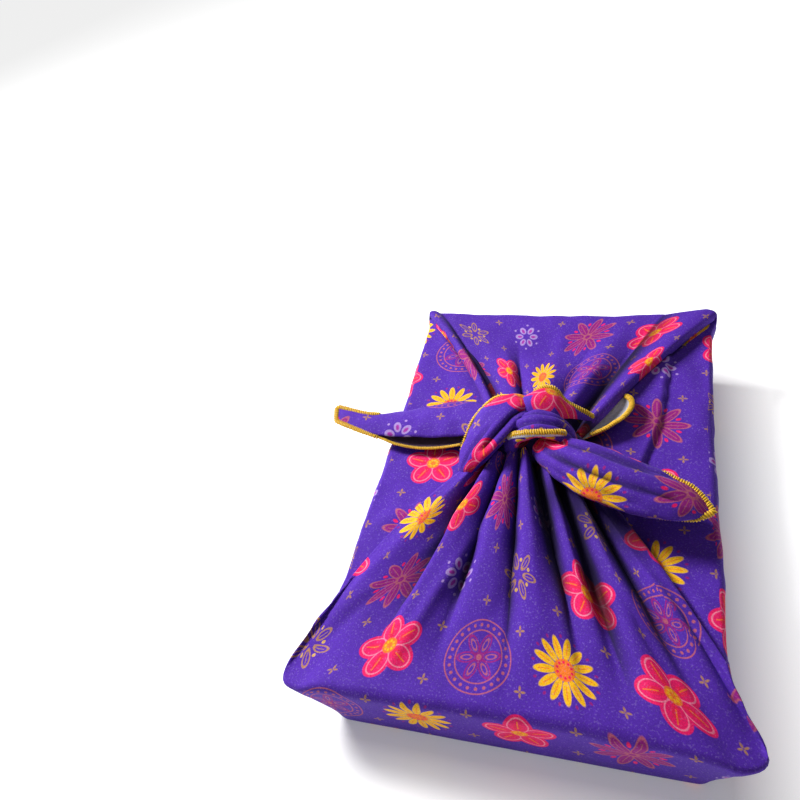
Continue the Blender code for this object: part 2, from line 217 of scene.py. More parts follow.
FOLDS = [
    # name, kind, neck x, neck y, rim point, past it, height at the neck, reach, bow
    ("near_left_roll", "roll", -35.0, 2.0, "near_left_seam", 3.0, 11.0, 1.15, -5.0),
    ("left_ear", "crest", -33.0, -1.0, "left_ear_tip", 0.0, 13.0, 0.95, -1.0),
    ("near_valley_a", "gully", -29.5, 1.0, "near_left", 12.0, 2.0, 0.60, 0.0),
    ("near_pleat_a", "crest", -24.5, 2.0, "near_left", 21.0, 18.0, 0.95, -2.0),
    ("near_valley_b", "valley", -18.5, 3.0, "near_middle_left", 0.0, 8.0, 0.55, -1.0),
    ("near_pleat_b", "crest", -14.5, 3.5, "near_middle_left", 15.0, 20.0, 0.85, 0.0),
    ("near_valley_c", "valley", -11.0, 3.5, "near_middle_left", 40.0, 10.0, 0.60, 0.0),
    ("near_pleat_c", "crest", -7.0, 3.0, "near_middle_left", 60.0, 22.0, 0.95, 0.0),
    ("near_valley_d", "gully", -2.5, 2.5, "near_middle_right", 8.0, 0.5, 0.50, 0.0),
    ("near_pleat_d", "crest", 2.5, 3.0, "near_middle_right", 21.0, 22.0, 0.80, 0.0),
    ("near_valley_e", "gully", 7.5, 2.5, "near_right", -20.0, 0.5, 0.50, 0.0),
    ("near_pleat_e", "crest", 12.5, 2.5, "near_right", -4.0, 21.0, 1.00, 1.0),
    ("near_valley_f", "gully", 17.0, 1.0, "right_ear_front", -4.0, 1.0, 0.60, 0.0),
    ("right_ear", "crest", 20.0, -2.5, "right_ear_tip", 0.0, 15.0, 0.95, -1.0),
    ("near_right_roll", "roll", 22.5, -0.5, "near_right_seam", -3.0, 13.0, 1.20, 2.5),
    ("right_panel_near", "panel", 24.0, 2.0, "near_right_seam", 3.0, 2.0, 0.50, 2.5),
    ("right_panel", "panel", 27.0, 12.0, "right_middle", 0.0, 2.0, 0.50, 0.0),
    ("right_panel_far", "panel", 23.5, 22.0, "far_right_seam", -4.0, 2.0, 0.50, 6.0),
    ("far_right_roll", "roll", 21.5, 24.0, "far_right_seam", 2.0, 15.0, 1.60, 6.0),
    ("far_valley_a", "gully", 15.5, 26.0, "far_right", 17.0, 2.0, 0.60, 4.0),
    ("far_pleat_a", "crest", 9.5, 27.5, "far_right", 30.0, 15.0, 0.85, 5.0),
    ("far_valley_b", "valley", 2.5, 28.5, "far_right", 46.0, 2.0, 0.85, 8.0),
    ("far_pleat_b", "crest", -4.0, 28.5, "far_middle", 5.0, 13.0, 0.70, 5.0),
    ("far_valley_c", "valley", -10.0, 28.0, "far_middle", 34.0, 7.0, 0.45, 2.0),
    ("far_pleat_c", "crest", -15.5, 26.5, "far_middle", 60.0, 14.0, 0.85, -1.0),
    ("far_valley_d", "gully", -20.5, 24.5, "far_left_corner", -4.0, 2.0, 0.60, -5.0),
    ("far_left_roll", "roll", -24.0, 22.5, "far_left_seam", -3.0, 12.0, 1.60, -7.0),
    ("left_panel_far", "panel", -27.0, 20.5, "far_left_seam", 3.0, 2.0, 0.50, -7.0),
    ("left_panel", "panel", -37.0, 13.0, "left_middle", 20.0, 2.0, 0.50, 0.0),
    ("left_panel_near", "panel", -37.0, 5.0, "near_left_seam", -3.0, 2.0, 0.50, -5.0),
]
CREST_FADE = 0.95
VALLEY_SHARPNESS = {"valley": 3.0, "gully": 1.5}
print("rim points:", len(RIM), "folds:", len(FOLDS))

# %% [markdown]
# ## Curves through table rows
# A curve object would hide its arithmetic. A Catmull-Rom spline passes through every row of a
# table, so the numbers in the table are the places on the cloth.


# %% Splines and the rim
def smooth_step(value):
    """Eases from 0 to 1 between 0 and 1."""
    share = min(1.0, max(0.0, value))
    return share * share * (3.0 - 2.0 * share)


def blend(first, second, share):
    """The value at that share of the way from first to second."""
    return first + (second - first) * share


def spline(rows, place, closed=False):
    """A smooth curve through rows of numbers, at a place counted in rows."""
    count = len(rows)
    index = int(math.floor(place))
    share = place - index

    def row(number):
        if closed:
            return rows[number % count]
        return rows[min(count - 1, max(0, number))]

    before, start, end, after = (row(index + step) for step in (-1, 0, 1, 2))
    return [
        0.5
        * (
            2.0 * b
            + (c - a) * share
            + (2.0 * a - 5.0 * b + 4.0 * c - d) * share**2
            + (3.0 * b - 3.0 * c + d - a) * share**3
        )
        for a, b, c, d in zip(before, start, end, after)
    ]


class Rim:
    """The parcel's upper rim, read by the distance along it."""

    SAMPLES = 16

    def __init__(self, table):
        self.names = [row[0] for row in table]
        self.rows = [row[1:] for row in table]
        self.distances = [0.0]
        total = len(table) * self.SAMPLES
        points = [spline(self.rows, step / self.SAMPLES, True) for step in range(total + 1)]
        for first, second in zip(points, points[1:]):
            run = math.hypot(second[0] - first[0], second[1] - first[1])
            self.distances.append(self.distances[-1] + run)
        self.length = self.distances[-1]

    def distance_of(self, name, past):
        """The distance along the rim of a place past a named rim point."""
        return self.distances[self.names.index(name) * self.SAMPLES] + past

    def at(self, distance):
        """x, y, rise and edge radius at a distance along the rim."""
        wrapped = distance % self.length
        low = 0
        high = len(self.distances) - 1
        while high - low > 1:
            middle = (low + high) // 2
            if self.distances[middle] <= wrapped:
                low = middle
            else:
                high = middle
        run = self.distances[high] - self.distances[low]
        place = (low + (wrapped - self.distances[low]) / run) / self.SAMPLES
        return spline(self.rows, place, True)


RIM_LINE = Rim(RIM)
print("length of the rim:", round(RIM_LINE.length, 1), "mm")


# %% Folds read with their places along the rim
def read_folds(rim):
    """The fold table as dictionaries, each rim place as a distance that never falls back."""
    keys = ("name", "kind", "neck_x", "neck_y", "distance", "height", "reach", "bow")
    folds = []
    for name, kind, neck_x, neck_y, point, past, height, reach, bow in FOLDS:
        distance = rim.distance_of(point, past)
        folds.append(dict(zip(keys, (name, kind, neck_x, neck_y, distance, height, reach, bow))))
    for before, fold in zip(folds, folds[1:]):
        while fold["distance"] < before["distance"] - rim.length / 2.0:
            fold["distance"] += rim.length
    return folds


CLOTH_FOLDS = read_folds(RIM_LINE)
print("first folds:", [fold["name"] for fold in CLOTH_FOLDS[:4]])


# %% Heights of the folds
ROLL_LAYERS = 2.6
FAR_ROLL_LIFT = 1.3
ROLL_SINKS_FROM = 0.7
ROLL_AT_RIM = 0.35


def fold_height(fold, share):
    """How high a fold stands above the box at a share of its way to the rim."""
    height = fold["height"] * max(0.0, 1.0 - share / fold["reach"]) ** CREST_FADE
    if fold["kind"] != "roll":
        return height
    lift = FAR_ROLL_LIFT if fold["name"].startswith("far") else 1.0
    sunk = smooth_step((share - ROLL_SINKS_FROM) / (1.0 - ROLL_SINKS_FROM))
    return max(height, lift * ROLL_LAYERS * blend(1.0, ROLL_AT_RIM, sunk))


def column_height(first, second, between, share):
    """The cloth's height between two folds: round on a crest and sharp in a valley."""
    start = fold_height(first, share)
    end = fold_height(second, share)
    if second["kind"] in VALLEY_SHARPNESS:
        return blend(start, end, between ** VALLEY_SHARPNESS[second["kind"]])
    if first["kind"] in VALLEY_SHARPNESS:
        return blend(end, start, (1.0 - between) ** VALLEY_SHARPNESS[first["kind"]])
    return blend(start, end, smooth_step(between))


def floor_point(x, y, inset):
    """The place under a rim point on the round-cornered outline that meets the floor."""
    straight_x = BOX_WIDTH / 2.0 - FLOOR_INSET - FLOOR_CORNER
    straight_y = BOX_LENGTH / 2.0 - FLOOR_INSET - FLOOR_CORNER
    middle_x = min(straight_x, max(-straight_x, x))
    middle_y = min(straight_y, max(-straight_y, y))
    away = math.hypot(x - middle_x, y - middle_y)
    share = (FLOOR_CORNER - inset) / away
    return middle_x + (x - middle_x) * share, middle_y + (y - middle_y) * share


print("highest at the knot:", fold_height(CLOTH_FOLDS[0], 0.0), "mm")

# %% [markdown]
# ## Columns of cloth
# The cloth on the box is woven here from columns that run from the knot over the rim and down
# to the floor, as the gathered threads of the real cloth do. A grid seen from above could not
# fall down the sides. Each column knows its flat place in the cloth, for the print, and how
# deep it lies between its folds, which sets the shade painted into its colour: light hardly
# reaches the bottom of a valley between pleats.

# %% Steps of a column
TOP_STEPS = 46
EDGE_STEPS = 7
SIDE_STEPS = 12
TURN_STEPS = 3
NECK_CROWDING = 1.25
QUARTER_TURN = math.pi / 2.0


def top_share(step):
    """How far an upper point of a column lies on its way to the rim, from 0 to 1."""
    return (step / TOP_STEPS) ** NECK_CROWDING


print("points in a column:", TOP_STEPS + 1 + EDGE_STEPS + SIDE_STEPS + TURN_STEPS)


# %% Painted shade between the folds
PAINTED_SHADE_STARTS = 1.6
PAINTED_SHADE_GROWS = 6.0
KNOT_SHADE_FULL = 0.03
KNOT_SHADE_FADES = 0.14


def column_painted_shades(first, second, between):
    """The shade painted into a column at each of its upper points, from 0 to 1: more the deeper it lies
    between its folds, and full on a panel beside the knot.
    """
    painted_shades = []
    for step in range(TOP_STEPS + 1):
        share = top_share(step)
        top = max(fold_height(first, share), fold_height(second, share))
        depth = top - column_height(first, second, between, share)
        painted_shade = smooth_step((depth - PAINTED_SHADE_STARTS) / PAINTED_SHADE_GROWS)
        if "panel" in (first["kind"], second["kind"]):
            painted_shade = max(painted_shade, 1.0 - smooth_step((share - KNOT_SHADE_FULL) / KNOT_SHADE_FADES))
        painted_shades.append(painted_shade)
    return painted_shades


VALLEY = CLOTH_FOLDS[8]
print("deepest in", VALLEY["name"], round(max(column_painted_shades(CLOTH_FOLDS[7], VALLEY, 1.0)), 2))


# %% The extra layer of the right panel
PLEAT_FOLD = [
    # x, y
    (78.0, 156.0),
    (73.5, 97.0),
    (69.0, 48.0),
    (58.0, 8.0),
    (50.0, -60.0),
]
PLEAT_STEP = 3.2
PLEAT_SOFTNESS = 1.8
PLEAT_ENDS = 0.1


def pleat_layer(x, y):
    """The height of the extra layer on the right panel, left of its folded edge."""
    for (x_far, y_far), (x_near, y_near) in zip(PLEAT_FOLD, PLEAT_FOLD[1:]):
        if y_near <= y <= y_far:
            edge = blend(x_far, x_near, (y_far - y) / (y_far - y_near))
            return PLEAT_STEP * smooth_step((edge - x) / PLEAT_SOFTNESS)
    return 0.0


print("extra layer beside the knot:", pleat_layer(30.0, 20.0), "mm")


# %% Points of a column
RISE_STARTS = 0.6


def wall_points(x, y, radius, edge_low):
    """A column's points down the wall and under the box, from below the rounded rim."""
    floor_x, floor_y = floor_point(x, y, 0.0)
    points = []
    for step in range(1, SIDE_STEPS + 1):
        share = step / SIDE_STEPS
        height = blend(edge_low, FLOOR_ROUND, share)
        place = Vector((blend(x, floor_x, share), blend(y, floor_y, share), height))
        points.append((place, radius * QUARTER_TURN + (edge_low - FLOOR_ROUND) * share))
    for step in range(1, TURN_STEPS + 1):
        turn = QUARTER_TURN * step / TURN_STEPS
        under_x, under_y = floor_point(x, y, FLOOR_ROUND * math.sin(turn))
        height = FLOOR_ROUND * (1.0 - math.sin(turn))
        points.append((Vector((under_x, under_y, height)), radius * QUARTER_TURN + edge_low + turn))
    return points


def column_points(first, second, between):
    """The points of one column, with the distance of each from the rim along the cloth."""

    def mixed(key):
        return blend(first[key], second[key], between)

    x, y, rise, radius = RIM_LINE.at(mixed("distance"))
    whole = math.hypot(x - mixed("neck_x"), y - mixed("neck_y"))
    out_x = (x - mixed("neck_x")) / whole
    out_y = (y - mixed("neck_y")) / whole
    run = whole - radius
    on_right_panel = first["kind"] == second["kind"] == "panel" and x > 0.0
    points = []
    for step in range(TOP_STEPS + 1):
        share = top_share(step)
        sideways = mixed("bow") * 4.0 * share * (1.0 - share)
        px = mixed("neck_x") + out_x * run * share - out_y * sideways
        py = mixed("neck_y") + out_y * run * share + out_x * sideways
        height = BOX_TOP + rise * smooth_step((share - RISE_STARTS) / (1.0 - RISE_STARTS))
        height += column_height(first, second, between, share)
        if on_right_panel:
            height += pleat_layer(px, py) * smooth_step((1.0 - share) / PLEAT_ENDS)
        points.append((Vector((px, py, height)), run * (share - 1.0)))
    rim_height = column_height(first, second, between, 1.0)
    for step in range(1, EDGE_STEPS + 1):
        turn = QUARTER_TURN * step / EDGE_STEPS
        inward = radius * (1.0 - math.sin(turn))
        sink = (radius + rim_height) * (1.0 - math.cos(turn))
        height = BOX_TOP + rise + rim_height - sink
        points.append((Vector((x - out_x * inward, y - out_y * inward, height)), radius * turn))
    return points + wall_points(x, y, radius, BOX_TOP + rise - radius)


print("first point of a column:", column_points(CLOTH_FOLDS[0], CLOTH_FOLDS[1], 0.0)[0][0])

# %% [markdown]
# ## Rolled edges of the flaps
# At four seams the gathered flap's edge rolls under itself, and the flat panel goes on beneath
# it. A height map can't show that. So each seam gets a Z-shaped profile: out over the roll, back
# beneath it, and out again as the panel. The print goes on along the profile, and the part that
# is shut in beneath the roll gets shade painted into its colour.

# %% Seam profile
SEAM_PROFILE = [
    # across to the panel mm, share of the way down, step along the print mm, painted shade
    (1.6, 0.08, 2.0, 0.0),
    (3.0, 0.30, 4.0, 0.0),
    (3.5, 0.55, 6.0, 0.1),
    (2.9, 0.75, 7.8, 0.35),
    (1.2, 0.84, 10.0, 0.7),
    (-1.8, 0.86, 13.0, 0.9),
    (-4.6, 0.88, 16.0, 0.9),
    (-5.4, 0.93, 17.5, 0.9),
    (-4.2, 0.985, 19.0, 0.8),
    (-1.0, 1.0, 22.0, 0.5),
]
FAR_ROLL_SIZE = 1.5
ROLL_AT_KNOT = 0.25
SEAM_GROWS_BY = 0.30
SEAM_ENDS_FROM = 0.62
ROLL_AT_END = 0.30
ROLL_ENDS_OVER = 0.38
TUCK_AT_END = 0.12
TUCK_ENDS_OVER = 0.3
OPENS_PAST_RIM_OVER = 0.1
PANEL_STARTS_AT = 0.55
NEAR_RIM = 0.98
GAP_AT_RIM = 1.0


def seam_columns(roll, panel):
    """The columns between a rolled edge and its panel, from the roll to the panel."""
    full = FAR_ROLL_SIZE if roll["name"].startswith("far") else 1.0
    top = column_points(roll, roll, 0.0)
    flat = column_points(panel, panel, 0.0)
    columns = [[] for _ in SEAM_PROFILE]
    for number, ((crest, away), (low, _)) in enumerate(zip(top, flat)):
        share = number / TOP_STEPS
        scale = full * blend(ROLL_AT_KNOT, 1.0, smooth_step(share / SEAM_GROWS_BY))
        inside = scale * blend(1.0, TUCK_AT_END, smooth_step((share - SEAM_ENDS_FROM) / TUCK_ENDS_OVER))
        outside = scale * blend(1.0, ROLL_AT_END, smooth_step((share - SEAM_ENDS_FROM) / ROLL_ENDS_OVER))
        on_top = share <= 1.0
        opened = smooth_step((share - 1.0) / OPENS_PAST_RIM_OVER)
        gap = Vector((low.x - crest.x, low.y - crest.y, 0.0))
        across = gap.normalized()
        beside_panel = gap.length - GAP_AT_RIM if share > NEAR_RIM else gap.length * PANEL_STARTS_AT
        for index, (out, down, _, _) in enumerate(SEAM_PROFILE):
            even = (index + 1.0) / (len(SEAM_PROFILE) + 1.0)
            reach = out * (outside if out > 0.0 else inside)
            start = blend(reach, gap.length * even, opened)
            height = crest.z - (crest.z - low.z) * (down if on_top else smooth_step(even))
            if down == 1.0 and on_top:
                start = max(start, beside_panel)
                height = low.z
            place = crest + across * start
            columns[index].append((Vector((place.x, place.y, height)), away))
    return columns


print("columns in a seam:", len(SEAM_PROFILE))

# %% [markdown]
# ## The whole cover as one mesh
# Every column carries a flat place for the print. On a flap it is the distance along the rim,
# so the motifs narrow towards the knot as gathered cloth does. On a panel and the base it is a
# plain plan view. Beside the two near ears the cloth is pinched, and there the print is read in
# a plan view that is turned along the ear, or else the motifs would be drawn into streaks.

# %% Strips of the cover
FLAP_SPACING = 2.4
PANEL_SPACING = 3.0
FEWEST_COLUMNS = 6
SEAM_SHADED_STEPS = TOP_STEPS - 6


def seam_strips(first, second):
    """The strips from one fold to the next, where a flap's rolled edge meets a panel."""
    opens = first["kind"] == "roll"
    roll, panel = (first, second) if opens else (second, first)
    kind = "ear_tuck" if roll["name"].startswith("near") else "tuck"
    made = []
    for column, (_, _, run, painted_shade) in zip(seam_columns(roll, panel), SEAM_PROFILE):
        along = roll["distance"] + (run if opens else -run)
        made.append((column, kind, along, [painted_shade] * SEAM_SHADED_STEPS))
    start = (column_points(first, first, 0.0), first["kind"], first["distance"], [])
    return [start, *(made if opens else made[::-1])]


def flap_strips(first, second):
    """The strips from one fold to the next across a flap or a panel."""
    kinds = {first["kind"], second["kind"]}
    run = second["distance"] - first["distance"]
    steps = max(FEWEST_COLUMNS, int(run / (PANEL_SPACING if kinds == {"panel"} else FLAP_SPACING)))
    made = []
    for step in range(steps):
        between = step / steps
        kind = "ear_side" if kinds == {"crest", "roll"} and step else first["kind"]
        column = column_points(first, second, between)
        painted_shades = column_painted_shades(first, second, between)
        made.append((column, kind, first["distance"] + run * between, painted_shades))
    return made


def strips_of_columns():
    """Every column round the parcel, as (points, kind, place along the rim, painted shades)."""
    last = dict(CLOTH_FOLDS[0], distance=CLOTH_FOLDS[0]["distance"] + RIM_LINE.length)
    strips = []
    for first, second in zip(CLOTH_FOLDS, [*CLOTH_FOLDS[1:], last]):
        seam = {first["kind"], second["kind"]} == {"roll", "panel"}
        strips += seam_strips(first, second) if seam else flap_strips(first, second)
    return strips


STRIPS = strips_of_columns()
print("columns in the cover:", len(STRIPS))


# %% Flat places of the cover
PANEL_APART = 413.0


def read_ears(folds):
    """Each ear's tip, its direction and its place along the rim, by the side that it is on."""
    ears = {}
    for fold in folds:
        if fold["name"].endswith("_ear"):
            tip = Vector(RIM_LINE.at(fold["distance"])[:2])
            ahead = (tip - Vector((fold["neck_x"], fold["neck_y"]))).normalized()
            ears[math.copysign(1.0, tip.x)] = (tip, ahead, fold["distance"])
    return ears


EARS = read_ears(CLOTH_FOLDS)


def flat_place(sector, side, point, away, along):
    """Where a point of the cover lies in the flat cloth, in millimetres."""
    if sector == "ear":
        tip, ahead, start = EARS[side]
        from_tip = point.xy - tip
        sideways = from_tip.y * ahead.x - from_tip.x * ahead.y
        return start + sideways + side * max(0.0, away), from_tip.dot(ahead)
    if sector == "panel":
        outward = BOX_WIDTH / 2.0 + away if away > 0.0 else side * point.x
        return side * point.y + PANEL_APART, outward
    return along, away


def sector_of(kind, following):
    """How the print lies between two columns: as on a panel, an ear or a flap."""
    if "panel" in (kind, following):
        return "panel"
    return "ear" if kind.startswith("ear") or following.startswith("ear") else "flap"


print("ears:", len(EARS))


# %% Build the cover
BASE_RINGS = (0.8, 0.55, 0.3, 0.1)


def add_base(cloth, ring):
    """The flat underside: smaller and smaller rings round one middle point."""
    outline = [vertex.co / MM for vertex in ring[:-1]]
    for scale in BASE_RINGS:
        inner = cloth.row([Vector((place.x * scale, place.y * scale, 0.0)) for place in outline])
        inner.append(inner[0])
        flats = [[vertex.co.xy / MM for vertex in row] for row in (inner, ring)]
        cloth.join(inner, ring, *flats)
        ring = inner
    cloth.fan(ring, (0.0, 0.0, 0.0), seen_from_above=True)


def base_tilt(cover):
    """The summed upward lean of the underside's faces, which is below 0 where they face down."""
    return sum(polygon.normal.z for polygon in cover.data.polygons if polygon.center.z < MM)


def make_cover():
    """The cloth on the box as one mesh, with the flat place of each corner."""
    cloth = ClothMesh()
    grid = []
    for points, kind, _, painted_shades in STRIPS:
        relief = 0.0 if kind in ("tuck", "ear_tuck", "roll") else 1.0
        grid.append(cloth.row([place for place, _ in points], painted_shades, relief))
    for index, (points, kind, along, _) in enumerate(STRIPS):
        following = (index + 1) % len(STRIPS)
        points_next, kind_next, along_next, _ = STRIPS[following]
        if along_next < along - RIM_LINE.length / 2.0:
            along_next += RIM_LINE.length
        sector = sector_of(kind, kind_next)
        side = 1.0 if points[TOP_STEPS][0].x > 0.0 else -1.0
        flats = [
            [flat_place(sector, side, place, away, around) for place, away in column]
            for column, around in ((points, along), (points_next, along_next))
        ]
        cloth.join(grid[index], grid[following], *flats)
    ring = [column[-1] for column in grid]
    add_base(cloth, [*ring, ring[0]])
    cover = cloth.finish("cover", closed=True)
    if base_tilt(cover) > 0.0:
        cover.data.flip_normals()
    return cover


COVER = make_cover()
print("faces in the cover:", len(COVER.data.polygons), "underside points down:", base_tilt(COVER) < 0.0)

# %% [markdown]
# ## Small creases
# Besides the gathers, cotton that is pulled to a knot has faint tension creases, and the flat
# panels have a few soft waves. They could be left to a bump map, but then they would vanish at
# the outline. Each is a row here: a line on the cloth with a height and a width.

# %% Crease table
CREASES = [
    # x, y, to x, to y, height mm, half width mm
    (-20.0, -30.0, -62.0, -138.0, 1.9, 3.2),
    (-30.0, -28.0, -96.0, -112.0, 1.5, 3.6),
    (-3.0, -60.0, -6.0, -140.0, 1.5, 4.0),
    (14.0, -55.0, 34.0, -138.0, 1.7, 3.6),
    (40.0, -62.0, 82.0, -128.0, -1.7, 3.2),
    (28.0, -40.0, 74.0, -140.0, 1.4, 2.8),
    (-45.0, -45.0, -108.0, -132.0, -1.4, 4.0),
    (60.0, -60.0, 104.0, -130.0, 1.5, 3.2),
    (30.0, -52.0, 52.0, -120.0, -1.5, 2.8),
    (-14.0, 40.0, -40.0, 120.0, 1.0, 4.0),
    (-6.0, 44.0, 4.0, 140.0, 0.9, 5.0),
    (8.0, 40.0, 30.0, 96.0, 1.2, 3.5),
    (22.0, 40.0, 58.0, 104.0, -1.2, 4.0),
    (14.0, 60.0, 46.0, 146.0, 1.0, 5.0),
    (32.0, 46.0, 84.0, 132.0, 1.2, 4.0),
    (-28.0, 52.0, -72.0, 148.0, -0.9, 5.0),
    (-52.0, -20.0, -96.0, -50.0, 1.0, 6.0),
    (-60.0, 44.0, -98.0, 80.0, 0.9, 7.0),
    (-50.0, 60.0, -90.0, 138.0, 0.8, 6.0),
    (44.0, -8.0, 98.0, -52.0, 0.9, 6.0),
    (60.0, -30.0, 99.0, -88.0, 1.0, 5.0),
    (84.0, 20.0, 99.0, 90.0, 0.7, 6.0),
    (46.0, -30.0, 96.0, -70.0, -0.8, 5.0),
    (90.0, 116.0, 99.0, 40.0, -0.8, 5.0),
]
WAVES = (
    # size mm, height mm
    (26.0, 0.9),
    (11.0, 0.45),
    (5.0, 0.12),
)


LINE_OVERRUN = 0.1
LINE_FADES_OVER = 0.35


def beside_lines(rows, x, y):
    """What each row gives at a place: its fifth value, less beside its line and at its ends."""
    for x_from, y_from, x_to, y_to, peak, half_width in rows:
        run_x = x_to - x_from
        run_y = y_to - y_from
        length = math.hypot(run_x, run_y)
        share = ((x - x_from) * run_x + (y - y_from) * run_y) / length**2
        if not -LINE_OVERRUN < share < 1.0 + LINE_OVERRUN:
            continue
        off = ((x - x_from) * run_y - (y - y_from) * run_x) / length
        fade = smooth_step((share + LINE_OVERRUN) / LINE_FADES_OVER)
        fade *= smooth_step((1.0 + LINE_OVERRUN - share) / LINE_FADES_OVER)
        yield peak * fade * math.exp(-((off / half_width) ** 2))


print("creases:", len(CREASES), "waves:", len(WAVES))


# %% Crease the cover
LOWEST_MOVED = 1.0
WAVES_GROW_OVER = 12.0
CREASED_FROM_TILT = 0.35


def crease_cover(cover):
    """Moves the cover's points out along their normals by the creases and soft waves."""
    mesh = cover.data
    relief = mesh.attributes["relief"].data
    places = [vertex.co / MM for vertex in mesh.vertices]
    normals = [vertex.normal.copy() for vertex in mesh.vertices]
    for vertex, place, normal, weight in zip(mesh.vertices, places, normals, relief):
        if weight.value == 0.0 or place.z < LOWEST_MOVED:
            continue
        low = smooth_step(place.z / WAVES_GROW_OVER)
        move = sum(noise.noise(place / size) * height for size, height in WAVES)
        if normal.z > CREASED_FROM_TILT:
            move += sum(beside_lines(CREASES, place.x, place.y))
        vertex.co = (place + normal * move * low) * MM


crease_cover(COVER)
print("highest point of the cover:", round(max(vertex.co.z for vertex in COVER.data.vertices), 4))

# %% [markdown]
# ## Two pockets of painted shade
# Under the right tail and behind the knot the real cloth is shut in, and it looks nearly black.
# Deeper folds there would run through the box. So shade is painted into these two places along
# a line, with the same kind of table as the creases, and the cotton is darker there.

# %% Painted shade in the pockets
PAINTED_SHADE_POCKETS = [
    # x, y, to x, to y, painted shade, half width mm
    (2.0, -17.0, 70.0, -52.0, 0.9, 11.0),
    (10.0, 45.0, 36.0, 22.0, 1.0, 8.5),
]
PAINTED_SHADE_POCKETS_LOWEST = BOX_TOP - 5.0


def paint_pocket_shade(cover):
    """Paints shade into the cloth that is shut in under the right tail and behind the knot."""
    for vertex, painted_shade in zip(cover.data.vertices, cover.data.attributes["painted_shade"].data):
        place = vertex.co / MM
        if place.z > PAINTED_SHADE_POCKETS_LOWEST:
            painted_shade.value = max(painted_shade.value, 0.0, *beside_lines(PAINTED_SHADE_POCKETS, place.x, place.y))


paint_pocket_shade(COVER)
print("deep pockets:", len(PAINTED_SHADE_POCKETS))

# %% [markdown]
# ## The strands of the knot
# A square knot in a wide cloth is a few rolled strands that cross over each other. Each strand
# could be sculpted. Here it is a loft through a table of sections, the same that shape the
# solid, and a second table presses lengthwise creases into it, because rolled cotton is never
# a smooth tube.

# %% Strand tables
ROLLED_STRANDS = {
    "knot_core": [
        # x, y, z, half width, half depth, roll
        (-34.0, 10.0, 57.0, 9.0, 8.0, 0.0),
        (-20.0, 13.0, 62.0, 12.0, 11.0, 0.0),
        (-4.0, 15.0, 64.0, 13.5, 12.5, 0.0),
        (11.0, 14.5, 62.0, 12.5, 11.0, 0.0),
        (24.0, 12.5, 57.0, 9.0, 8.0, 0.0),
    ],
    "left_lobe": [
        (-43.0, -6.0, 56.0, 5.0, 4.5, 20.0),
        (-39.5, -2.0, 64.0, 10.0, 6.5, 24.0),
        (-34.0, 4.0, 71.0, 14.0, 8.0, 26.0),
        (-28.5, 12.0, 76.5, 16.0, 8.5, 24.0),
        (-22.5, 22.0, 79.0, 15.0, 8.0, 18.0),
        (-15.0, 31.0, 76.0, 11.5, 7.5, 8.0),
        (-7.0, 37.0, 67.0, 8.0, 6.5, 0.0),
    ],
    "band": [
        (-17.0, 8.0, 66.0, 7.5, 4.5, 0.0),
        (-13.0, 9.0, 77.5, 9.5, 4.5, 0.0),
        (-2.0, 10.0, 84.5, 10.5, 4.5, 0.0),
        (9.0, 10.5, 82.5, 10.0, 4.5, 0.0),
        (16.5, 11.0, 73.5, 8.5, 4.5, 0.0),
        (18.5, 11.0, 62.0, 7.0, 4.5, 0.0),
    ],
    "right_tail": [
        (2.0, 7.0, 68.0, 7.5, 6.5, 0.0),
        (14.0, -2.5, 72.5, 13.0, 9.5, 0.0),
        (31.0, -12.5, 74.0, 17.0, 11.5, 0.0),
        (49.0, -20.5, 74.0, 16.5, 11.0, 0.0),
        (66.0, -26.0, 73.5, 15.0, 9.0, 0.0),
        (80.0, -28.5, 72.0, 12.0, 6.0, 0.0),
        (88.5, -30.5, 70.5, 7.0, 3.2, 0.0),
        (93.5, -32.5, 70.0, 1.6, 1.2, 0.0),
    ],
}
STRAND_CREASES = {
    "knot_core": [
        # angle at the start, angle at the end, from share, to share, height mm, half angle
        (20.0, 32.0, 0.1, 0.9, -2.4, 9.0),
        (52.0, 44.0, 0.0, 0.8, -2.0, 8.0),
        (-8.0, -2.0, 0.1, 1.0, 1.6, 12.0),
    ],
    "left_lobe": [
        # angle at the start, angle at the end, from share, to share, height mm, half angle
        (32.0, 28.0, 0.25, 0.85, -2.8, 7.0),
        (58.0, 66.0, 0.05, 0.6, -1.6, 6.0),
        (84.0, 76.0, 0.3, 0.8, -1.1, 5.0),
        (88.0, 104.0, 0.2, 0.9, 1.0, 13.0),
        (112.0, 82.0, 0.3, 0.95, -0.9, 8.0),
        (0.0, 4.0, 0.1, 0.9, 1.3, 12.0),
        (-20.0, -14.0, 0.1, 0.9, -1.4, 10.0),
        (200.0, 220.0, 0.0, 1.0, -1.2, 16.0),
    ],
    "band": [
        (70.0, 82.0, 0.1, 0.9, -2.2, 6.0),
        (94.0, 104.0, 0.15, 0.8, 1.0, 12.0),
        (54.0, 60.0, 0.2, 0.85, 0.8, 8.0),
        (122.0, 108.0, 0.1, 0.8, -2.0, 6.0),
        (140.0, 150.0, 0.1, 0.9, -1.2, 8.0),
    ],
    "right_tail": [
        (50.0, 78.0, 0.05, 0.75, -2.4, 6.5),
        (66.0, 60.0, 0.0, 0.45, -1.4, 5.0),
        (112.0, 140.0, 0.2, 0.8, -1.5, 6.0),
        (20.0, 34.0, 0.1, 0.6, -1.2, 8.0),
        (98.0, 126.0, 0.0, 0.62, -1.8, 9.0),
        (-32.0, -60.0, 0.1, 0.8, -1.8, 12.0),
        (150.0, 150.0, 0.0, 0.9, -1.3, 10.0),
        (75.0, 104.0, 0.15, 0.9, 0.9, 11.0),
        (0.0, 6.0, 0.2, 0.8, 0.9, 12.0),
    ],
}
STRAND_PRINT = {
    # where the print starts, round the strand mm, along it mm
    "knot_core": (0.0, 0.0),
    "left_lobe": (30.0, 8.0),
    "band": (12.0, 40.0),
    "right_tail": (0.0, 20.0),
}
print("rolled strands:", list(ROLLED_STRANDS))


# %% Sections of a strand
NUDGE = 0.05
CREASE_FADES_OVER = 0.15
PUCKER_SIZE = 8.0
PUCKER_HEIGHT = 0.7


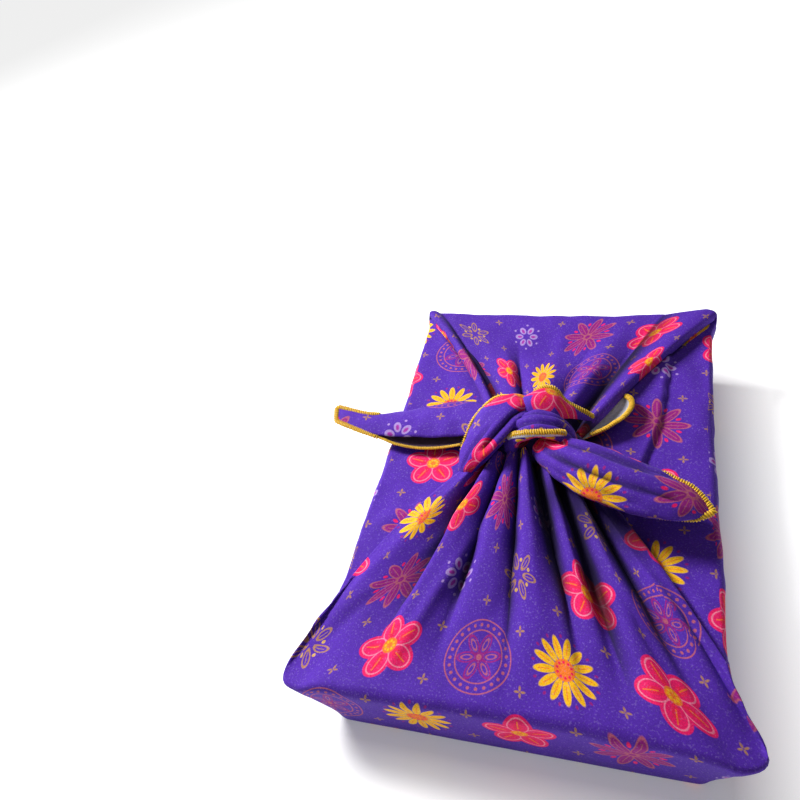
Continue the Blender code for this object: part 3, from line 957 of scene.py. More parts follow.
def nudged(rows, place):
    """The rows' values a little ahead of a place and a little behind it, for directions."""
    ahead = spline(rows, min(place + NUDGE, len(rows) - 1.0))
    behind = spline(rows, max(place - NUDGE, 0.0))
    return ahead, behind


def pucker(place):
    """How far the soft puckers of pulled cloth lift a place in millimetres."""
    return noise.noise(place / PUCKER_SIZE) * PUCKER_HEIGHT


def strand_frame(rows, place):
    """A strand's centre, its two turned axes and its half sizes, at a place counted in rows."""
    x, y, z, half_width, half_depth, roll = spline(rows, place)
    ahead, behind = nudged(rows, place)
    along = (Vector(ahead[:3]) - Vector(behind[:3])).normalized()
    across = along.cross(Vector((0.0, 0.0, 1.0))).normalized()
    upward = across.cross(along)
    turn = math.radians(roll)
    wide = across * math.cos(turn) + upward * math.sin(turn)
    deep = upward * math.cos(turn) - across * math.sin(turn)
    return Vector((x, y, z)), wide, deep, half_width, half_depth


def strand_relief(name, share, angle):
    """How far a strand's creases move its surface out at a share of its length and an angle."""
    move = 0.0
    for start, end, first, last, peak, half_angle in STRAND_CREASES[name]:
        if not first <= share <= last:
            continue
        fade = smooth_step((share - first) / CREASE_FADES_OVER)
        fade *= smooth_step((last - share) / CREASE_FADES_OVER)
        off = (angle - blend(start, end, share) + 180.0) % 360.0 - 180.0
        move += peak * fade * math.exp(-((off / half_angle) ** 2))
    return move


def strand_point(name, place, angle, lift=0.0):
    """A point on a strand's surface and the way out of it, at an angle round the strand."""
    rows = ROLLED_STRANDS[name]
    centre, wide, deep, half_width, half_depth = strand_frame(rows, place)
    turn = math.radians(angle)
    out = (wide * (math.cos(turn) / half_width) + deep * (math.sin(turn) / half_depth)).normalized()
    edge = centre + wide * (half_width * math.cos(turn)) + deep * (half_depth * math.sin(turn))
    move = strand_relief(name, place / (len(rows) - 1.0), angle) + lift + pucker(edge)
    return edge + out * move, out


print("a point on the band:", [round(value, 1) for value in strand_point("band", 2.0, 90.0)[0]])


# %% Loft a strand
STRAND_SIDES = 48
STRAND_STEPS = 9
CORE_PAINTED_SHADE = 0.85
DARKEST_CREASE = 3.0


def strand_painted_shades(name, share, angles):
    """The shade painted into a strand round one of its rings, darker in its creases; the core is painted
    in shade all over.
    """
    if name == "knot_core":
        return [CORE_PAINTED_SHADE] * len(angles)
    return [smooth_step(-strand_relief(name, share, angle) / DARKEST_CREASE) for angle in angles]


def make_strand(name):
    """One rolled strand as a closed skin, with its flat place for the print."""
    rows = ROLLED_STRANDS[name]
    round_start, along_start = STRAND_PRINT[name]
    round_whole = max(row[3] + row[4] for row in rows) * math.pi
    angles = [360.0 * side / STRAND_SIDES for side in range(STRAND_SIDES)]
    around = [round_start + round_whole * side / STRAND_SIDES for side in range(STRAND_SIDES + 1)]
    cloth = ClothMesh()
    rings = []
    flats = []
    length = 0.0
    for step in range((len(rows) - 1) * STRAND_STEPS + 1):
        place = step / STRAND_STEPS
        painted_shades = strand_painted_shades(name, place / (len(rows) - 1.0), angles)
        ring = cloth.row([strand_point(name, place, angle)[0] for angle in angles], painted_shades)
        rings.append([*ring, ring[0]])
        if step:
            before = strand_frame(rows, place - 1.0 / STRAND_STEPS)[0]
            length += (strand_frame(rows, place)[0] - before).length
        flats.append([(u, along_start + length) for u in around])
    for neighbours in zip(rings, rings[1:], flats, flats[1:]):
        cloth.join(*neighbours)
    for ring in (rings[0], rings[-1]):
        cloth.fan(ring, sum((vertex.co for vertex in ring[:-1]), Vector()) / STRAND_SIDES)
    return cloth.finish(name, closed=True)


STRANDS = [make_strand(name) for name in ROLLED_STRANDS]
print("strands:", [(strand.name, len(strand.data.polygons)) for strand in STRANDS])

# %% [markdown]
# ## Open cloth ends
# The left end is a flat strip and the curled edge behind the knot is a cup of cloth. Both are
# single open sheets, so each is a ribbon between two edge lines with an arch across it, and
# a Solidify modifier gives it the cotton's thickness.

# %% Ribbon tables
RIBBONS = {
    "left_tail": [
        # x, y, z of the far edge, x, y, z of the near edge, arch
        (-20.0, 30.0, 70.0, -24.0, 6.0, 66.0, 2.0),
        (-44.0, 46.0, 64.0, -43.3, 16.4, 64.0, 4.0),
        (-59.3, 50.0, 60.0, -58.1, 16.3, 62.0, 5.0),
        (-75.0, 48.5, 57.0, -74.7, 16.4, 60.5, 5.0),
        (-88.5, 44.5, 56.5, -88.2, 16.7, 59.5, 4.5),
        (-100.8, 39.6, 57.5, -100.0, 17.2, 59.0, 3.5),
        (-113.4, 35.4, 59.0, -112.3, 19.0, 58.5, 2.5),
        (-128.5, 37.5, 59.5, -124.7, 23.0, 58.5, 1.5),
        (-140.5, 40.6, 59.5, -137.8, 28.5, 58.0, 0.6),
    ],
    "tail_turn": [
        (-46.8, 24.9, 62.0, -45.4, 14.0, 59.5, -0.8),
        (-63.6, 24.4, 60.5, -61.9, 12.5, 56.0, -1.6),
        (-78.4, 24.2, 59.5, -75.6, 11.9, 55.0, -2.0),
        (-94.1, 24.4, 58.5, -92.0, 13.6, 55.5, -1.4),
        (-105.4, 23.1, 58.0, -102.9, 16.6, 57.0, -0.6),
        (-115.2, 23.7, 57.8, -112.4, 19.0, 58.0, 0.0),
    ],
    "top_strand": [
        (-14.6, 36.2, 78.0, -15.4, 21.9, 77.0, 2.0),
        (-6.1, 38.3, 83.0, -9.6, 20.5, 80.0, 3.0),
        (0.7, 41.6, 84.0, -3.0, 19.9, 80.5, 3.5),
        (5.8, 42.7, 82.0, 3.3, 20.5, 80.0, 3.5),
        (10.0, 40.6, 78.0, 8.8, 21.7, 77.0, 3.5),
        (14.2, 38.9, 74.0, 13.2, 27.0, 72.5, 2.4),
        (21.9, 37.9, 69.5, 20.4, 32.0, 67.5, 1.0),
        (30.6, 38.1, 63.0, 29.6, 35.0, 61.5, 0.3),
    ],
    "curled_edge": [
        (21.0, 30.1, 57.0, 23.0, 23.4, 60.0, -1.5),
        (26.6, 36.2, 56.5, 33.0, 28.3, 62.0, -2.5),
        (31.9, 44.4, 56.0, 41.3, 34.7, 62.5, -3.5),
        (37.6, 53.3, 56.0, 48.4, 44.7, 62.0, -3.8),
        (42.3, 60.8, 56.5, 51.0, 55.3, 60.5, -2.8),
        (44.4, 65.5, 57.5, 47.5, 64.4, 58.5, -0.8),
    ],
}
RIBBON_PRINT = {
    # where the print starts, x mm, y mm
    "left_tail": (14.0, 6.0),
    "tail_turn": (0.0, 0.0),
    "top_strand": (20.0, -16.0),
    "curled_edge": (0.0, 0.0),
}
RIBBON_ACROSS = 18
RIBBON_ALONG = 9
print("ribbons:", list(RIBBONS))


# %% Ribbon surface
def ribbon_point(name, place, across):
    """A point on an open end and the way up from it; across runs from the far edge to the near."""
    rows = RIBBONS[name]
    values = spline(rows, place)
    far = Vector(values[:3])
    near = Vector(values[3:6])
    ahead, behind = nudged(rows, place)
    along = Vector(ahead[:3]) + Vector(ahead[3:6]) - Vector(behind[:3]) - Vector(behind[3:6])
    up = (near - far).cross(along).normalized()
    if up.z < 0.0:
        up.negate()
    point = far + (near - far) * across + up * (values[6] * 4.0 * across * (1.0 - across))
    return point + up * pucker(point), up


def make_sheet(name, places, print_start):
    """An open sheet through rows of places, with its print seen from above."""
    cloth = ClothMesh()
    rows = [cloth.row(row) for row in places]
    flats = [[vertex.co.xy / MM + Vector(print_start) for vertex in row] for row in rows]
    for neighbours in zip(rows[1:], rows, flats[1:], flats):
        cloth.join(*neighbours)
    return cloth.finish(name, closed=False)


def make_ribbon(name):
    """One open end of cloth as a single sheet."""
    shares = [number / RIBBON_ACROSS for number in range(RIBBON_ACROSS + 1)]
    steps = (len(RIBBONS[name]) - 1) * RIBBON_ALONG
    places = [
        [ribbon_point(name, step / RIBBON_ALONG, share)[0] for share in shares]
        for step in range(steps + 1)
    ]
    return make_sheet(name, places, RIBBON_PRINT[name])


OPEN_ENDS = [make_ribbon(name) for name in RIBBONS]
print("open ends:", [(end.name, len(end.data.polygons)) for end in OPEN_ENDS])

# %% [markdown]
# ## The turned strip of the band
# Under the band's hem a narrow strip of the cloth's pale reverse shows. It could be a patch of
# colour on the band. Here it is a small sheet that lies just over the band's own surface, below
# the line that its hem follows, and narrows to nothing at both ends.

# %% Band turn
BAND_EDGE = [
    # place along the band, angle round it
    (0.8, 66.0),
    (1.2, 53.0),
    (1.7, 38.0),
    (2.2, 31.0),
    (2.7, 37.0),
    (3.1, 50.0),
    (3.5, 64.0),
]
BAND_TURN_ENDS = 0.3
BAND_TURN_ANGLE = 26.0
BAND_TURN_LIFT = 0.9
BAND_TURN_SINKS = 0.15
BAND_TURN_ALONG = 24
BAND_TURN_ACROSS = 4
BAND_TURN_TAPER = 0.12


def band_turn_row(share):
    """The places across the strip, at a share of its length."""
    last = len(BAND_EDGE) - 1.0 - BAND_TURN_ENDS
    place, start = spline(BAND_EDGE, blend(BAND_TURN_ENDS, last, share))
    width = math.sqrt(math.sin(math.pi * blend(BAND_TURN_TAPER, 1.0 - BAND_TURN_TAPER, share)))
    row = []
    for number in range(BAND_TURN_ACROSS + 1):
        angle = start - BAND_TURN_ANGLE * width * number / BAND_TURN_ACROSS
        row.append(strand_point("band", place, angle, BAND_TURN_LIFT - BAND_TURN_SINKS * number)[0])
    return row


TURN_ROWS = [band_turn_row(step / BAND_TURN_ALONG) for step in range(BAND_TURN_ALONG + 1)]
OPEN_ENDS.append(make_sheet("band_turn", TURN_ROWS, (0.0, 0.0)))
print("faces in the turned strip:", len(OPEN_ENDS[-1].data.polygons))

# %% [markdown]
# ## Shader maths in Python
# A print made of many motifs is long as a wired tree. A small class wraps a socket, so that
# the motifs can be written as formulas, and each operator adds its Math node.


# %% Shader class
class Value:
    """A number that varies over a surface, kept as a node's output."""

    def __init__(self, socket, sheet):
        self.socket = socket
        self.sheet = sheet

    def math(self, operation, *others):
        return self.sheet.maths(operation, self, *others)

    def __add__(self, other):
        return self.math("ADD", other)

    def __radd__(self, other):
        return self.sheet.maths("ADD", other, self)

    def __sub__(self, other):
        return self.math("SUBTRACT", other)

    def __rsub__(self, other):
        return self.sheet.maths("SUBTRACT", other, self)

    def __mul__(self, other):
        return self.math("MULTIPLY", other)

    def __rmul__(self, other):
        return self.sheet.maths("MULTIPLY", other, self)

    def __truediv__(self, other):
        return self.math("DIVIDE", other)

    def __rtruediv__(self, other):
        return self.sheet.maths("DIVIDE", other, self)


class Tree:
    """A node tree, with one method that adds any node."""

    def __init__(self, tree):
        self.tree = tree

    def node(self, kind, settings=None, **sockets):
        """A node of a kind, its settings first, then its sockets by number (s0, s1) or name."""
        made = self.tree.nodes.new(kind)
        for name, value in (settings or {}).items():
            setattr(made, name, value)
        for name, value in sockets.items():
            key = int(name[1:]) if name[0] == "s" and name[1:].isdigit() else name.replace("_", " ")
            self.feed(made.inputs[key], value)
        return made

    def feed(self, socket, value):
        """Links a socket to another, or sets its plain value."""
        if isinstance(value, Value):
            self.tree.links.new(value.socket, socket)
        elif isinstance(value, bpy.types.NodeSocket):
            self.tree.links.new(value, socket)
        else:
            socket.default_value = value


class Sheet(Tree):
    """The node tree of one material, ending in one shader."""

    def __init__(self, name):
        self.material = bpy.data.materials.new(name)
        self.material.use_nodes = True
        super().__init__(self.material.node_tree)
        self.shader = self.tree.nodes["Principled BSDF"]

    def clamped(self, value):
        """The value kept between 0 and 1."""
        return self.maths("MINIMUM", self.maths("MAXIMUM", value, 0.0), 1.0)

    def apart(self, vector):
        """The x and y of a vector as two numbers."""
        made = self.node("ShaderNodeSeparateXYZ", s0=vector)
        return Value(made.outputs[0], self), Value(made.outputs[1], self)

    def noise(self, scale, detail):
        """Noise over the piece's own place in metres."""
        spots = self.node("ShaderNodeTexCoord")
        made = self.node("ShaderNodeTexNoise", Vector=spots.outputs["Object"], Scale=scale, Detail=detail)
        return Value(made.outputs[0], self)

    def relief(self, strength, depth, height):
        """Feeds the shader's normal with a bump of a depth in metres."""
        bump = self.node("ShaderNodeBump", Strength=strength, Distance=depth, Height=height)
        self.feed(self.shader.inputs["Normal"], bump.outputs[0])

    def maths(self, operation, *values):
        """A Math node on up to three values."""
        made = self.node("ShaderNodeMath", {"operation": operation})
        for socket, value in zip(made.inputs, values):
            self.feed(socket, value)
        return Value(made.outputs[0], self)

    def mix(self, share, first, second, how="MIX"):
        """Two colours mixed by a share."""
        made = self.node("ShaderNodeMix", {"data_type": "RGBA", "blend_type": how})
        self.feed(made.inputs[0], share)
        self.feed(made.inputs[6], first)
        self.feed(made.inputs[7], second)
        return made.outputs[2]


print("shader helpers ready")

# %% [markdown]
# ## The lattice of the print
# A printed cloth repeats. Here the motifs sit on an even three-way lattice, each turned by a
# random angle that its cell decides. The lattice is read from the flat place of the cloth, so
# the print bends and narrows with the folds. The motifs are plain flowers, each a few formulas
# for petals, rings and rays.

# %% Print settings
LATTICE_WIDE = 51.0
LATTICE_HIGH = 44.2
HOLE_SHARE = 2.0 / 3.0
SOFT_EDGE = 0.35
GROUND = (0.083, 0.020, 0.38, 1.0)
HOT_PINK = (0.86, 0.008, 0.13, 1.0)
WARM_RED = (0.86, 0.012, 0.075, 1.0)
PALE_PINK = (0.92, 0.24, 0.36, 1.0)
ORANGE = (0.92, 0.20, 0.018, 1.0)
YELLOW = (0.96, 0.52, 0.008, 1.0)
PLUM = (0.36, 0.03, 0.36, 1.0)
MAGENTA = (0.30, 0.010, 0.21, 1.0)
SALMON = (0.47, 0.10, 0.17, 1.0)
DULL_GOLD = (0.42, 0.20, 0.10, 1.0)
BRONZE = (0.62, 0.36, 0.10, 1.0)
PALE_VIOLET = (0.40, 0.26, 0.62, 1.0)


class Motif:
    """Plane coordinates of one motif, with shapes measured in millimetres."""

    def __init__(self, sheet, x, y):
        self.sheet = sheet
        self.distance = sheet.maths("SQRT", x * x + y * y)
        self.angle = sheet.maths("ARCTAN2", y, x)

    def cover_of(self, inside):
        """A mask from a value that is positive inside a shape, in millimetres."""
        return self.sheet.clamped(inside / SOFT_EDGE + 0.5)

    def disc(self, radius):
        return self.cover_of(radius - self.distance)

    def ring(self, radius, half_width):
        return self.cover_of(half_width - self.sheet.maths("ABSOLUTE", self.distance - radius))

    def petal_place(self, count, turned):
        """Coordinates in one of count equal petals: out from the centre, and across."""
        sector = 2.0 * math.pi / count
        shift = 0.5 if turned else 0.0
        share = self.sheet.maths("FRACT", self.angle / sector + (10.5 + shift))
        local = (share - 0.5) * sector
        out = self.distance * self.sheet.maths("COSINE", local)
        across = self.distance * self.sheet.maths("SINE", local)
        return out, across

    def petal_inside(self, count, middle, half_length, half_width, turned=False):
        """How far a point lies inside the nearest petal, in millimetres."""
        out, across = self.petal_place(count, turned)
        along = (out - middle) / half_length
        side = across / half_width
        reach = self.sheet.maths("SQRT", along * along + side * side)
        return (1.0 - reach) * min(half_length, half_width)

    def petals(self, *shape, turned=False):
        return self.cover_of(self.petal_inside(*shape, turned=turned))

    def petal_lines(self, *shape, line=0.32, turned=False):
        return self.cover_of(line - self.sheet.maths("ABSOLUTE", self.petal_inside(*shape, turned=turned)))

    def rays(self, count, start, end, half_width, turned=False):
        out, across = self.petal_place(count, turned)
        half = (end - start) / 2.0
        lengthwise = half - self.sheet.maths("ABSOLUTE", out - (start + end) / 2.0)
        sideways = half_width - self.sheet.maths("ABSOLUTE", across)
        return self.cover_of(self.sheet.maths("MINIMUM", lengthwise, sideways))


print("motifs stand", LATTICE_WIDE, "mm apart")


# %% Layers of one motif after another
def paint(sheet, colour, layers, where):
    """Paints layers of (mask, colour) over a colour, where a mask says."""
    for mask, ink in layers:
        share = mask if where is None else mask * where
        colour = sheet.mix(share, colour, ink)
    return colour


def pink_blossom(motif):
    """A hot pink blossom of five broad petals with an orange heart."""
    return [
        (motif.petals(5, 9.6, 8.6, 7.0), HOT_PINK),
        (motif.disc(7.0), HOT_PINK),
        (motif.petal_lines(5, 9.6, 6.8, 5.0, line=0.3), PALE_PINK),
        (motif.petals(5, 8.4, 4.6, 2.0), WARM_RED),
        (motif.rays(5, 7.0, 14.5, 0.3), ORANGE),
        (motif.disc(4.2), ORANGE),
        (motif.petals(8, 2.4, 0.8, 0.7), YELLOW),
    ]


def yellow_daisy(motif):
    """A yellow daisy of thirteen slim petals with an orange heart."""
    return [
        (motif.petals(13, 11.0, 6.2, 2.1), YELLOW),
        (motif.rays(13, 8.0, 14.5, 0.22), ORANGE),
        (motif.disc(5.6), ORANGE),
        (motif.petals(10, 3.9, 0.8, 0.7), WARM_RED),
        (motif.petals(13, 17.2, 1.0, 0.7, turned=True), MAGENTA),
    ]


def leaf_star(motif):
    """A star of eight magenta leaves with salmon outlines."""
    return [
        (motif.petals(8, 10.6, 8.4, 3.0), MAGENTA),
        (motif.petal_lines(8, 10.6, 8.2, 2.8, line=0.3), SALMON),
        (motif.rays(8, 4.5, 16.0, 0.22), SALMON),
        (motif.petals(8, 13.5, 1.7, 1.0, turned=True), HOT_PINK),
        (motif.disc(3.0), SALMON),
        (motif.disc(1.8), MAGENTA),
    ]


def roundel(motif):
    """Two salmon rings with a row of dots between them, round a flower drawn in lines."""
    return [
        (motif.ring(19.0, 0.36), SALMON),
        (motif.petals(24, 16.4, 0.9, 0.9), SALMON),
        (motif.ring(13.6, 0.36), SALMON),
        (motif.petal_lines(6, 7.2, 5.2, 2.6, line=0.4), MAGENTA),
        (motif.petal_lines(6, 7.2, 3.0, 1.2, line=0.26), SALMON),
        (motif.disc(1.6), SALMON),
    ]


def small_blossom(motif):
    """A small pale violet blossom."""
    return [
        (motif.petals(6, 6.6, 3.6, 2.5), PALE_VIOLET),
        (motif.petals(6, 6.2, 2.0, 1.1), PLUM),
        (motif.petals(6, 11.6, 0.9, 0.9, turned=True), PALE_VIOLET),
    ]


def gold_sprig(motif):
    """A small dull gold sprig of six leaves."""
    return [
        (motif.petal_lines(6, 8.6, 4.8, 2.0, line=0.36), DULL_GOLD),
        (motif.rays(6, 3.6, 11.0, 0.2), DULL_GOLD),
        (motif.petals(6, 8.2, 1.1, 1.1, turned=True), BRONZE),
    ]


MOTIFS = (
    # kinds of cell that hold it, motif
    ((0, 3), pink_blossom),
    ((1,), roundel),
    ((2,), yellow_daisy),
    ((4,), leaf_star),
    ((5,), small_blossom),
    ((6,), gold_sprig),
)
print("motifs:", [draw.__name__ for _, draw in MOTIFS])


# %% Read the lattice
CELL_KINDS = 7
ROW_SHIFT = 2.0
FAR_FROM_ZERO = 100.0 * CELL_KINDS
SAME_WITHIN = 0.4
DICE_SEED = 3.7
WHOLE_TURN = 6.28
STRAYS_WIDE = 4.0
STRAYS_HIGH = 3.0


def lattice(sheet, u, v):
    """The place in the nearest cell of the lattice, and the cell's two numbers."""
    row = sheet.maths("FLOOR", v / LATTICE_HIGH)
    stagger = sheet.maths("FRACT", row * 0.5) * LATTICE_WIDE
    moved = u + stagger
    column = sheet.maths("FLOOR", moved / LATTICE_WIDE)
    x = moved - column * LATTICE_WIDE - LATTICE_WIDE / 2.0
    y = v - row * LATTICE_HIGH - LATTICE_HIGH / 2.0
    return x, y, column, row


def print_colour(sheet, u, v):
    """The printed colour at a flat place of the cloth."""
    x, y, column, row = lattice(sheet, u, v)
    cell = sheet.node("ShaderNodeCombineXYZ", s0=column, s1=row, s2=DICE_SEED)
    dice = sheet.node("ShaderNodeTexWhiteNoise", {"noise_dimensions": "3D"}, s0=cell.outputs[0])
    stray_x, stray_y = sheet.apart(dice.outputs[1])
    motif = Motif(sheet, x + (stray_x - 0.5) * STRAYS_WIDE, y + (stray_y - 0.5) * STRAYS_HIGH)
    motif.angle = motif.angle + Value(dice.outputs[0], sheet) * WHOLE_TURN
    cells = column + row * ROW_SHIFT + FAR_FROM_ZERO
    kind = sheet.maths("FLOORED_MODULO", cells, float(CELL_KINDS))
    colour = GROUND
    for kinds, draw in MOTIFS:
        held = [sheet.maths("COMPARE", kind, float(number), SAME_WITHIN) for number in kinds]
        where = held[0] if len(held) == 1 else sheet.maths("MAXIMUM", *held)
        colour = paint(sheet, colour, draw(motif), where)
    for sign in (-1.0, 1.0):
        hole_x, hole_y, _, _ = lattice(sheet, u, v + sign * LATTICE_HIGH * HOLE_SHARE)
        star = Motif(sheet, hole_x, hole_y)
        colour = paint(sheet, colour, [(star.petals(4, 1.6, 1.3, 0.6), DULL_GOLD)], None)
    return colour


print("lattice ready")

# %% [markdown]
# ## Printed cotton
# Plain-woven cotton is matt, with threads about half a millimetre wide and a faint sheen. The
# thread relief goes into the bump, and ink takes a little more on the tops of the threads. Light
# hardly reaches the pockets and valleys of the folds, so shade is painted there: the cotton reads
# the painted shade of each place from the mesh, and it is darker there from every side.

# %% Cotton material
THREAD_PITCH = 0.62
PAINTED_SHADE_DARKENS = 0.9
LINT = (0.42, 0.30, 0.66, 1.0)
LINT_SHARE = 0.2
FLECK_CONTRAST = 7.0
FLECK_FLOOR = 4.1
SPECKLE = (1500.0, 2.0)
BLOTCH = (26.0, 3.0)
FLECKS = (950.0, 1.0)
SPECKLE_SHARE = 0.95
BLOTCH_SHARE = 0.35
THREAD_SHARE = 0.16
RELIEF_SHARE = 0.6
SMOOTHEST = 0.68
ROUGHNESS_VARIES = 0.2
TONE_BALANCE = (0.22, 0.20, 0.24)
THREAD_DEPTH = 0.00025


def weave(sheet, u, v):
    """The height of a plain weave, from 0 to 1."""
    across = sheet.maths("SINE", u * (2.0 * math.pi / THREAD_PITCH))
    along = sheet.maths("SINE", v * (2.0 * math.pi / THREAD_PITCH))
    return across * along * 0.5 + 0.5


def printed_cotton():
    """The print on its violet ground, with weave, slubs and a faint sheen."""
    sheet = Sheet("printed_cotton")
    across, along = sheet.apart(sheet.node("ShaderNodeUVMap", {"uv_map": "cloth"}).outputs[0])
    u = across / MM
    v = along / MM
    threads = weave(sheet, u, v)
    speckle = sheet.noise(*SPECKLE)
    blotch = sheet.noise(*BLOTCH)
    lint = sheet.clamped(sheet.noise(*FLECKS) * FLECK_CONTRAST - FLECK_FLOOR)
    linted = sheet.mix(lint * LINT_SHARE, print_colour(sheet, u, v), LINT)
    # Painted shade: the colour is darkened by the shade that the mesh marks on each place.
    shade = sheet.node("ShaderNodeAttribute", {"attribute_name": "painted_shade"})
    lit = 1.0 - Value(shade.outputs["Fac"], sheet) * PAINTED_SHADE_DARKENS
    tone = speckle * SPECKLE_SHARE + threads * THREAD_SHARE + blotch * BLOTCH_SHARE
    red, green, blue = ((tone + base) * lit for base in TONE_BALANCE)
    grey = sheet.node("ShaderNodeCombineColor", s0=red, s1=green, s2=blue)
    sheet.feed(sheet.shader.inputs["Base Color"], sheet.mix(1.0, linted, grey.outputs[0], "MULTIPLY"))
    sheet.feed(sheet.shader.inputs["Roughness"], blotch * ROUGHNESS_VARIES + SMOOTHEST)
    sheet.relief(0.35, THREAD_DEPTH, threads * RELIEF_SHARE + speckle * RELIEF_SHARE)
    sheet.shader.inputs["Sheen Weight"].default_value = 0.03
    sheet.shader.inputs["Specular IOR Level"].default_value = 0.2
    return sheet.material


PRINTED = printed_cotton()
print("nodes in the print:", len(PRINTED.node_tree.nodes))


# %% Reverse side
def cotton_reverse(name, dark, light):
    """The unprinted reverse, grey-white with a little of the violet showing through."""
    sheet = Sheet(name)
    speckle = sheet.noise(700.0, 2.0)
    sheet.feed(sheet.shader.inputs["Base Color"], sheet.mix(speckle, dark, light))
    sheet.relief(0.3, 0.0002, speckle)
    sheet.shader.inputs["Roughness"].default_value = 0.9
    return sheet.material


# The lighter copy has painted light, for the turned strip under the band, and the nearly black copy has
# painted shade, for the turn under the left tail.
REVERSES = {
    # name: darker tone, lighter tone
    "cotton_reverse": ((0.26, 0.25, 0.31, 1.0), (0.52, 0.51, 0.57, 1.0)),
    "cotton_reverse_painted_light": ((0.58, 0.57, 0.64, 1.0), (0.85, 0.84, 0.90, 1.0)),
    "cotton_reverse_painted_shade": ((0.03, 0.013, 0.035, 1.0), (0.075, 0.035, 0.08, 1.0)),
}
REVERSE, REVERSE_PAINTED_LIGHT, REVERSE_PAINTED_SHADE = (
    cotton_reverse(name, *tones) for name, tones in REVERSES.items()
)
print("reverses:", list(REVERSES))


# %% Dress the cloth

def dress(piece, thickness, outside, inside):
    """One finish outside, one inside, and the cotton's thickness where one is given."""
    piece.data.materials.append(outside)
    piece.data.materials.append(inside)
    if thickness:
        solid = piece.modifiers.new("thickness", "SOLIDIFY")
        solid.thickness = thickness * MM
        solid.offset = -1.0
        solid.material_offset = 1
        solid.material_offset_rim = 0


COTTON_THICKNESS = 0.8
EAR_TIPS = ((-118.0, -139.5), (115.5, -140.0), (106.0, 151.0), (-104.0, 151.0))
EAR_REACH = 30.0
EAR_STARTS = 0.2
PINCHED_SHARE = 0.1


def thin_the_ears(cover):
    """A point group that makes the cloth thin where two layers are pinched together."""
    group = cover.vertex_groups.new(name="thickness")
    for vertex in cover.data.vertices:
        place = vertex.co / MM
        away = min(math.hypot(place.x - x, place.y - y) for x, y in EAR_TIPS)
        share = blend(PINCHED_SHARE, 1.0, smooth_step(away / EAR_REACH - EAR_STARTS))
        group.add([vertex.index], share, "REPLACE")
    cover.modifiers["thickness"].vertex_group = "thickness"


dress(COVER, COTTON_THICKNESS, PRINTED, PRINTED)
thin_the_ears(COVER)
# The strip under the band takes the reverse with painted light, and the turn under the left tail the
# reverse with painted shade.
TURNED_ENDS = {"tail_turn": REVERSE_PAINTED_SHADE, "curled_edge": REVERSE, "band_turn": REVERSE_PAINTED_LIGHT}
for end in OPEN_ENDS:
    if end.name in TURNED_ENDS:
        dress(end, COTTON_THICKNESS, TURNED_ENDS[end.name], PRINTED)
    else:
        dress(end, COTTON_THICKNESS, PRINTED, REVERSE)
for strand in STRANDS:
    dress(strand, 0.0, PRINTED, REVERSE)
print("cloth dressed")

# %% [markdown]
# ## The overlocked hem
# The cut edge of the real cloth is bound with golden thread: a flat roll of thread with loops
# round it a little over a millimetre apart. The roll is a lofted tube along each edge line. The
# loops repeat hundreds of times along a path, which is work for Geometry Nodes.

# %% Hem lines
HEM_HALF_WIDTH = 1.5
HEM_HALF_DEPTH = 0.75
HEM_SIDES = 10
STITCH_SPACING = 1.35

HEM_LIFT = 0.2
STRAND_HEMS = {
    # strand: rows of place along it, angle round it
    "left_lobe": [
        (0.6, 178.0), (1.0, 158.0), (1.5, 142.0), (2.0, 136.0),
        (3.0, 136.0), (4.0, 138.0), (4.6, 146.0), (5.2, 160.0),
    ],
    "band": BAND_EDGE,
    "right_tail": [
        (3.9, 152.0), (4.5, 146.0), (5.0, 138.0), (5.6, 128.0), (6.3, 112.0), (6.9, 90.0), (6.9, 60.0),
        (6.5, 20.0), (6.0, -20.0), (5.5, -38.0), (5.0, -42.0), (4.4, -40.0), (4.0, -42.0),
    ],
}
HEM_SIZES = {"turn_hem": 0.55}
TAIL_TIP = [(7.97, 0.06), (8.0, 0.5), (7.97, 0.94)]
RIBBON_HEMS = {
    # line: rows of ribbon, place along it, share across it
    "tail_hem": [
        *(("left_tail", place, 0.0) for place in (5.6, 6.3, 7.0, 7.6)),
        *(("left_tail", place, share) for place, share in TAIL_TIP),
        *(("left_tail", place, 1.0) for place in (7.6, 7.0, 6.4)),
        *(("tail_turn", place, 1.0) for place in (4.6, 4.1)),
    ],
    "turn_hem": [("tail_turn", place / 4.0, 1.0) for place in range(17, 0, -2)],
    "top_hem": [("top_strand", place / 2.0, 0.0) for place in range(2, 15)],
    "curl_hem": [
        *(("curled_edge", place / 2.0, 1.0) for place in range(1, 10)),
        ("curled_edge", 4.9, 0.6),
        ("curled_edge", 4.7, 0.0),
    ],
}
LINE_SAMPLES = 24


def even_line(points, spacing):
    """Points and ups along a line, an even distance apart."""
    samples = []
    rows = [(*point, *up) for point, up in points]
    for step in range((len(rows) - 1) * LINE_SAMPLES + 1):
        values = spline(rows, step / LINE_SAMPLES)
        samples.append((Vector(values[:3]), Vector(values[3:]).normalized()))
    kept = [samples[0]]
    left = spacing
    for (start, _), (end, up) in zip(samples, samples[1:]):
        left -= (end - start).length
        if left <= 0.0:
            kept.append((end, up))
            left += spacing
    return kept


def hem_lines():
    """Every hem as an even line of points and ups, with its size."""
    lines = []
    for name, rows in STRAND_HEMS.items():
        points = [strand_point(name, place, angle, HEM_LIFT) for place, angle in rows]
        lines.append((even_line(points, STITCH_SPACING), 1.0))
    for name, rows in RIBBON_HEMS.items():
        size = HEM_SIZES.get(name, 1.0)
        lines.append((even_line([ribbon_point(*row) for row in rows], STITCH_SPACING * size), size))
    return lines


HEM_LINES = hem_lines()
print("stitches:", sum(len(line) for line, _ in HEM_LINES))


# %% Bind the hems
BINDING_AT_END = 0.35
BINDING_GROWS = 0.35


def hem_axes(line, index):
    """The way along a hem and the way up from the cloth at one of its points."""
    before = line[max(0, index - 1)][0]
    after = line[min(len(line) - 1, index + 1)][0]
    along = (after - before).normalized()
    across = along.cross(line[index][1]).normalized()
    return along, across, across.cross(along)


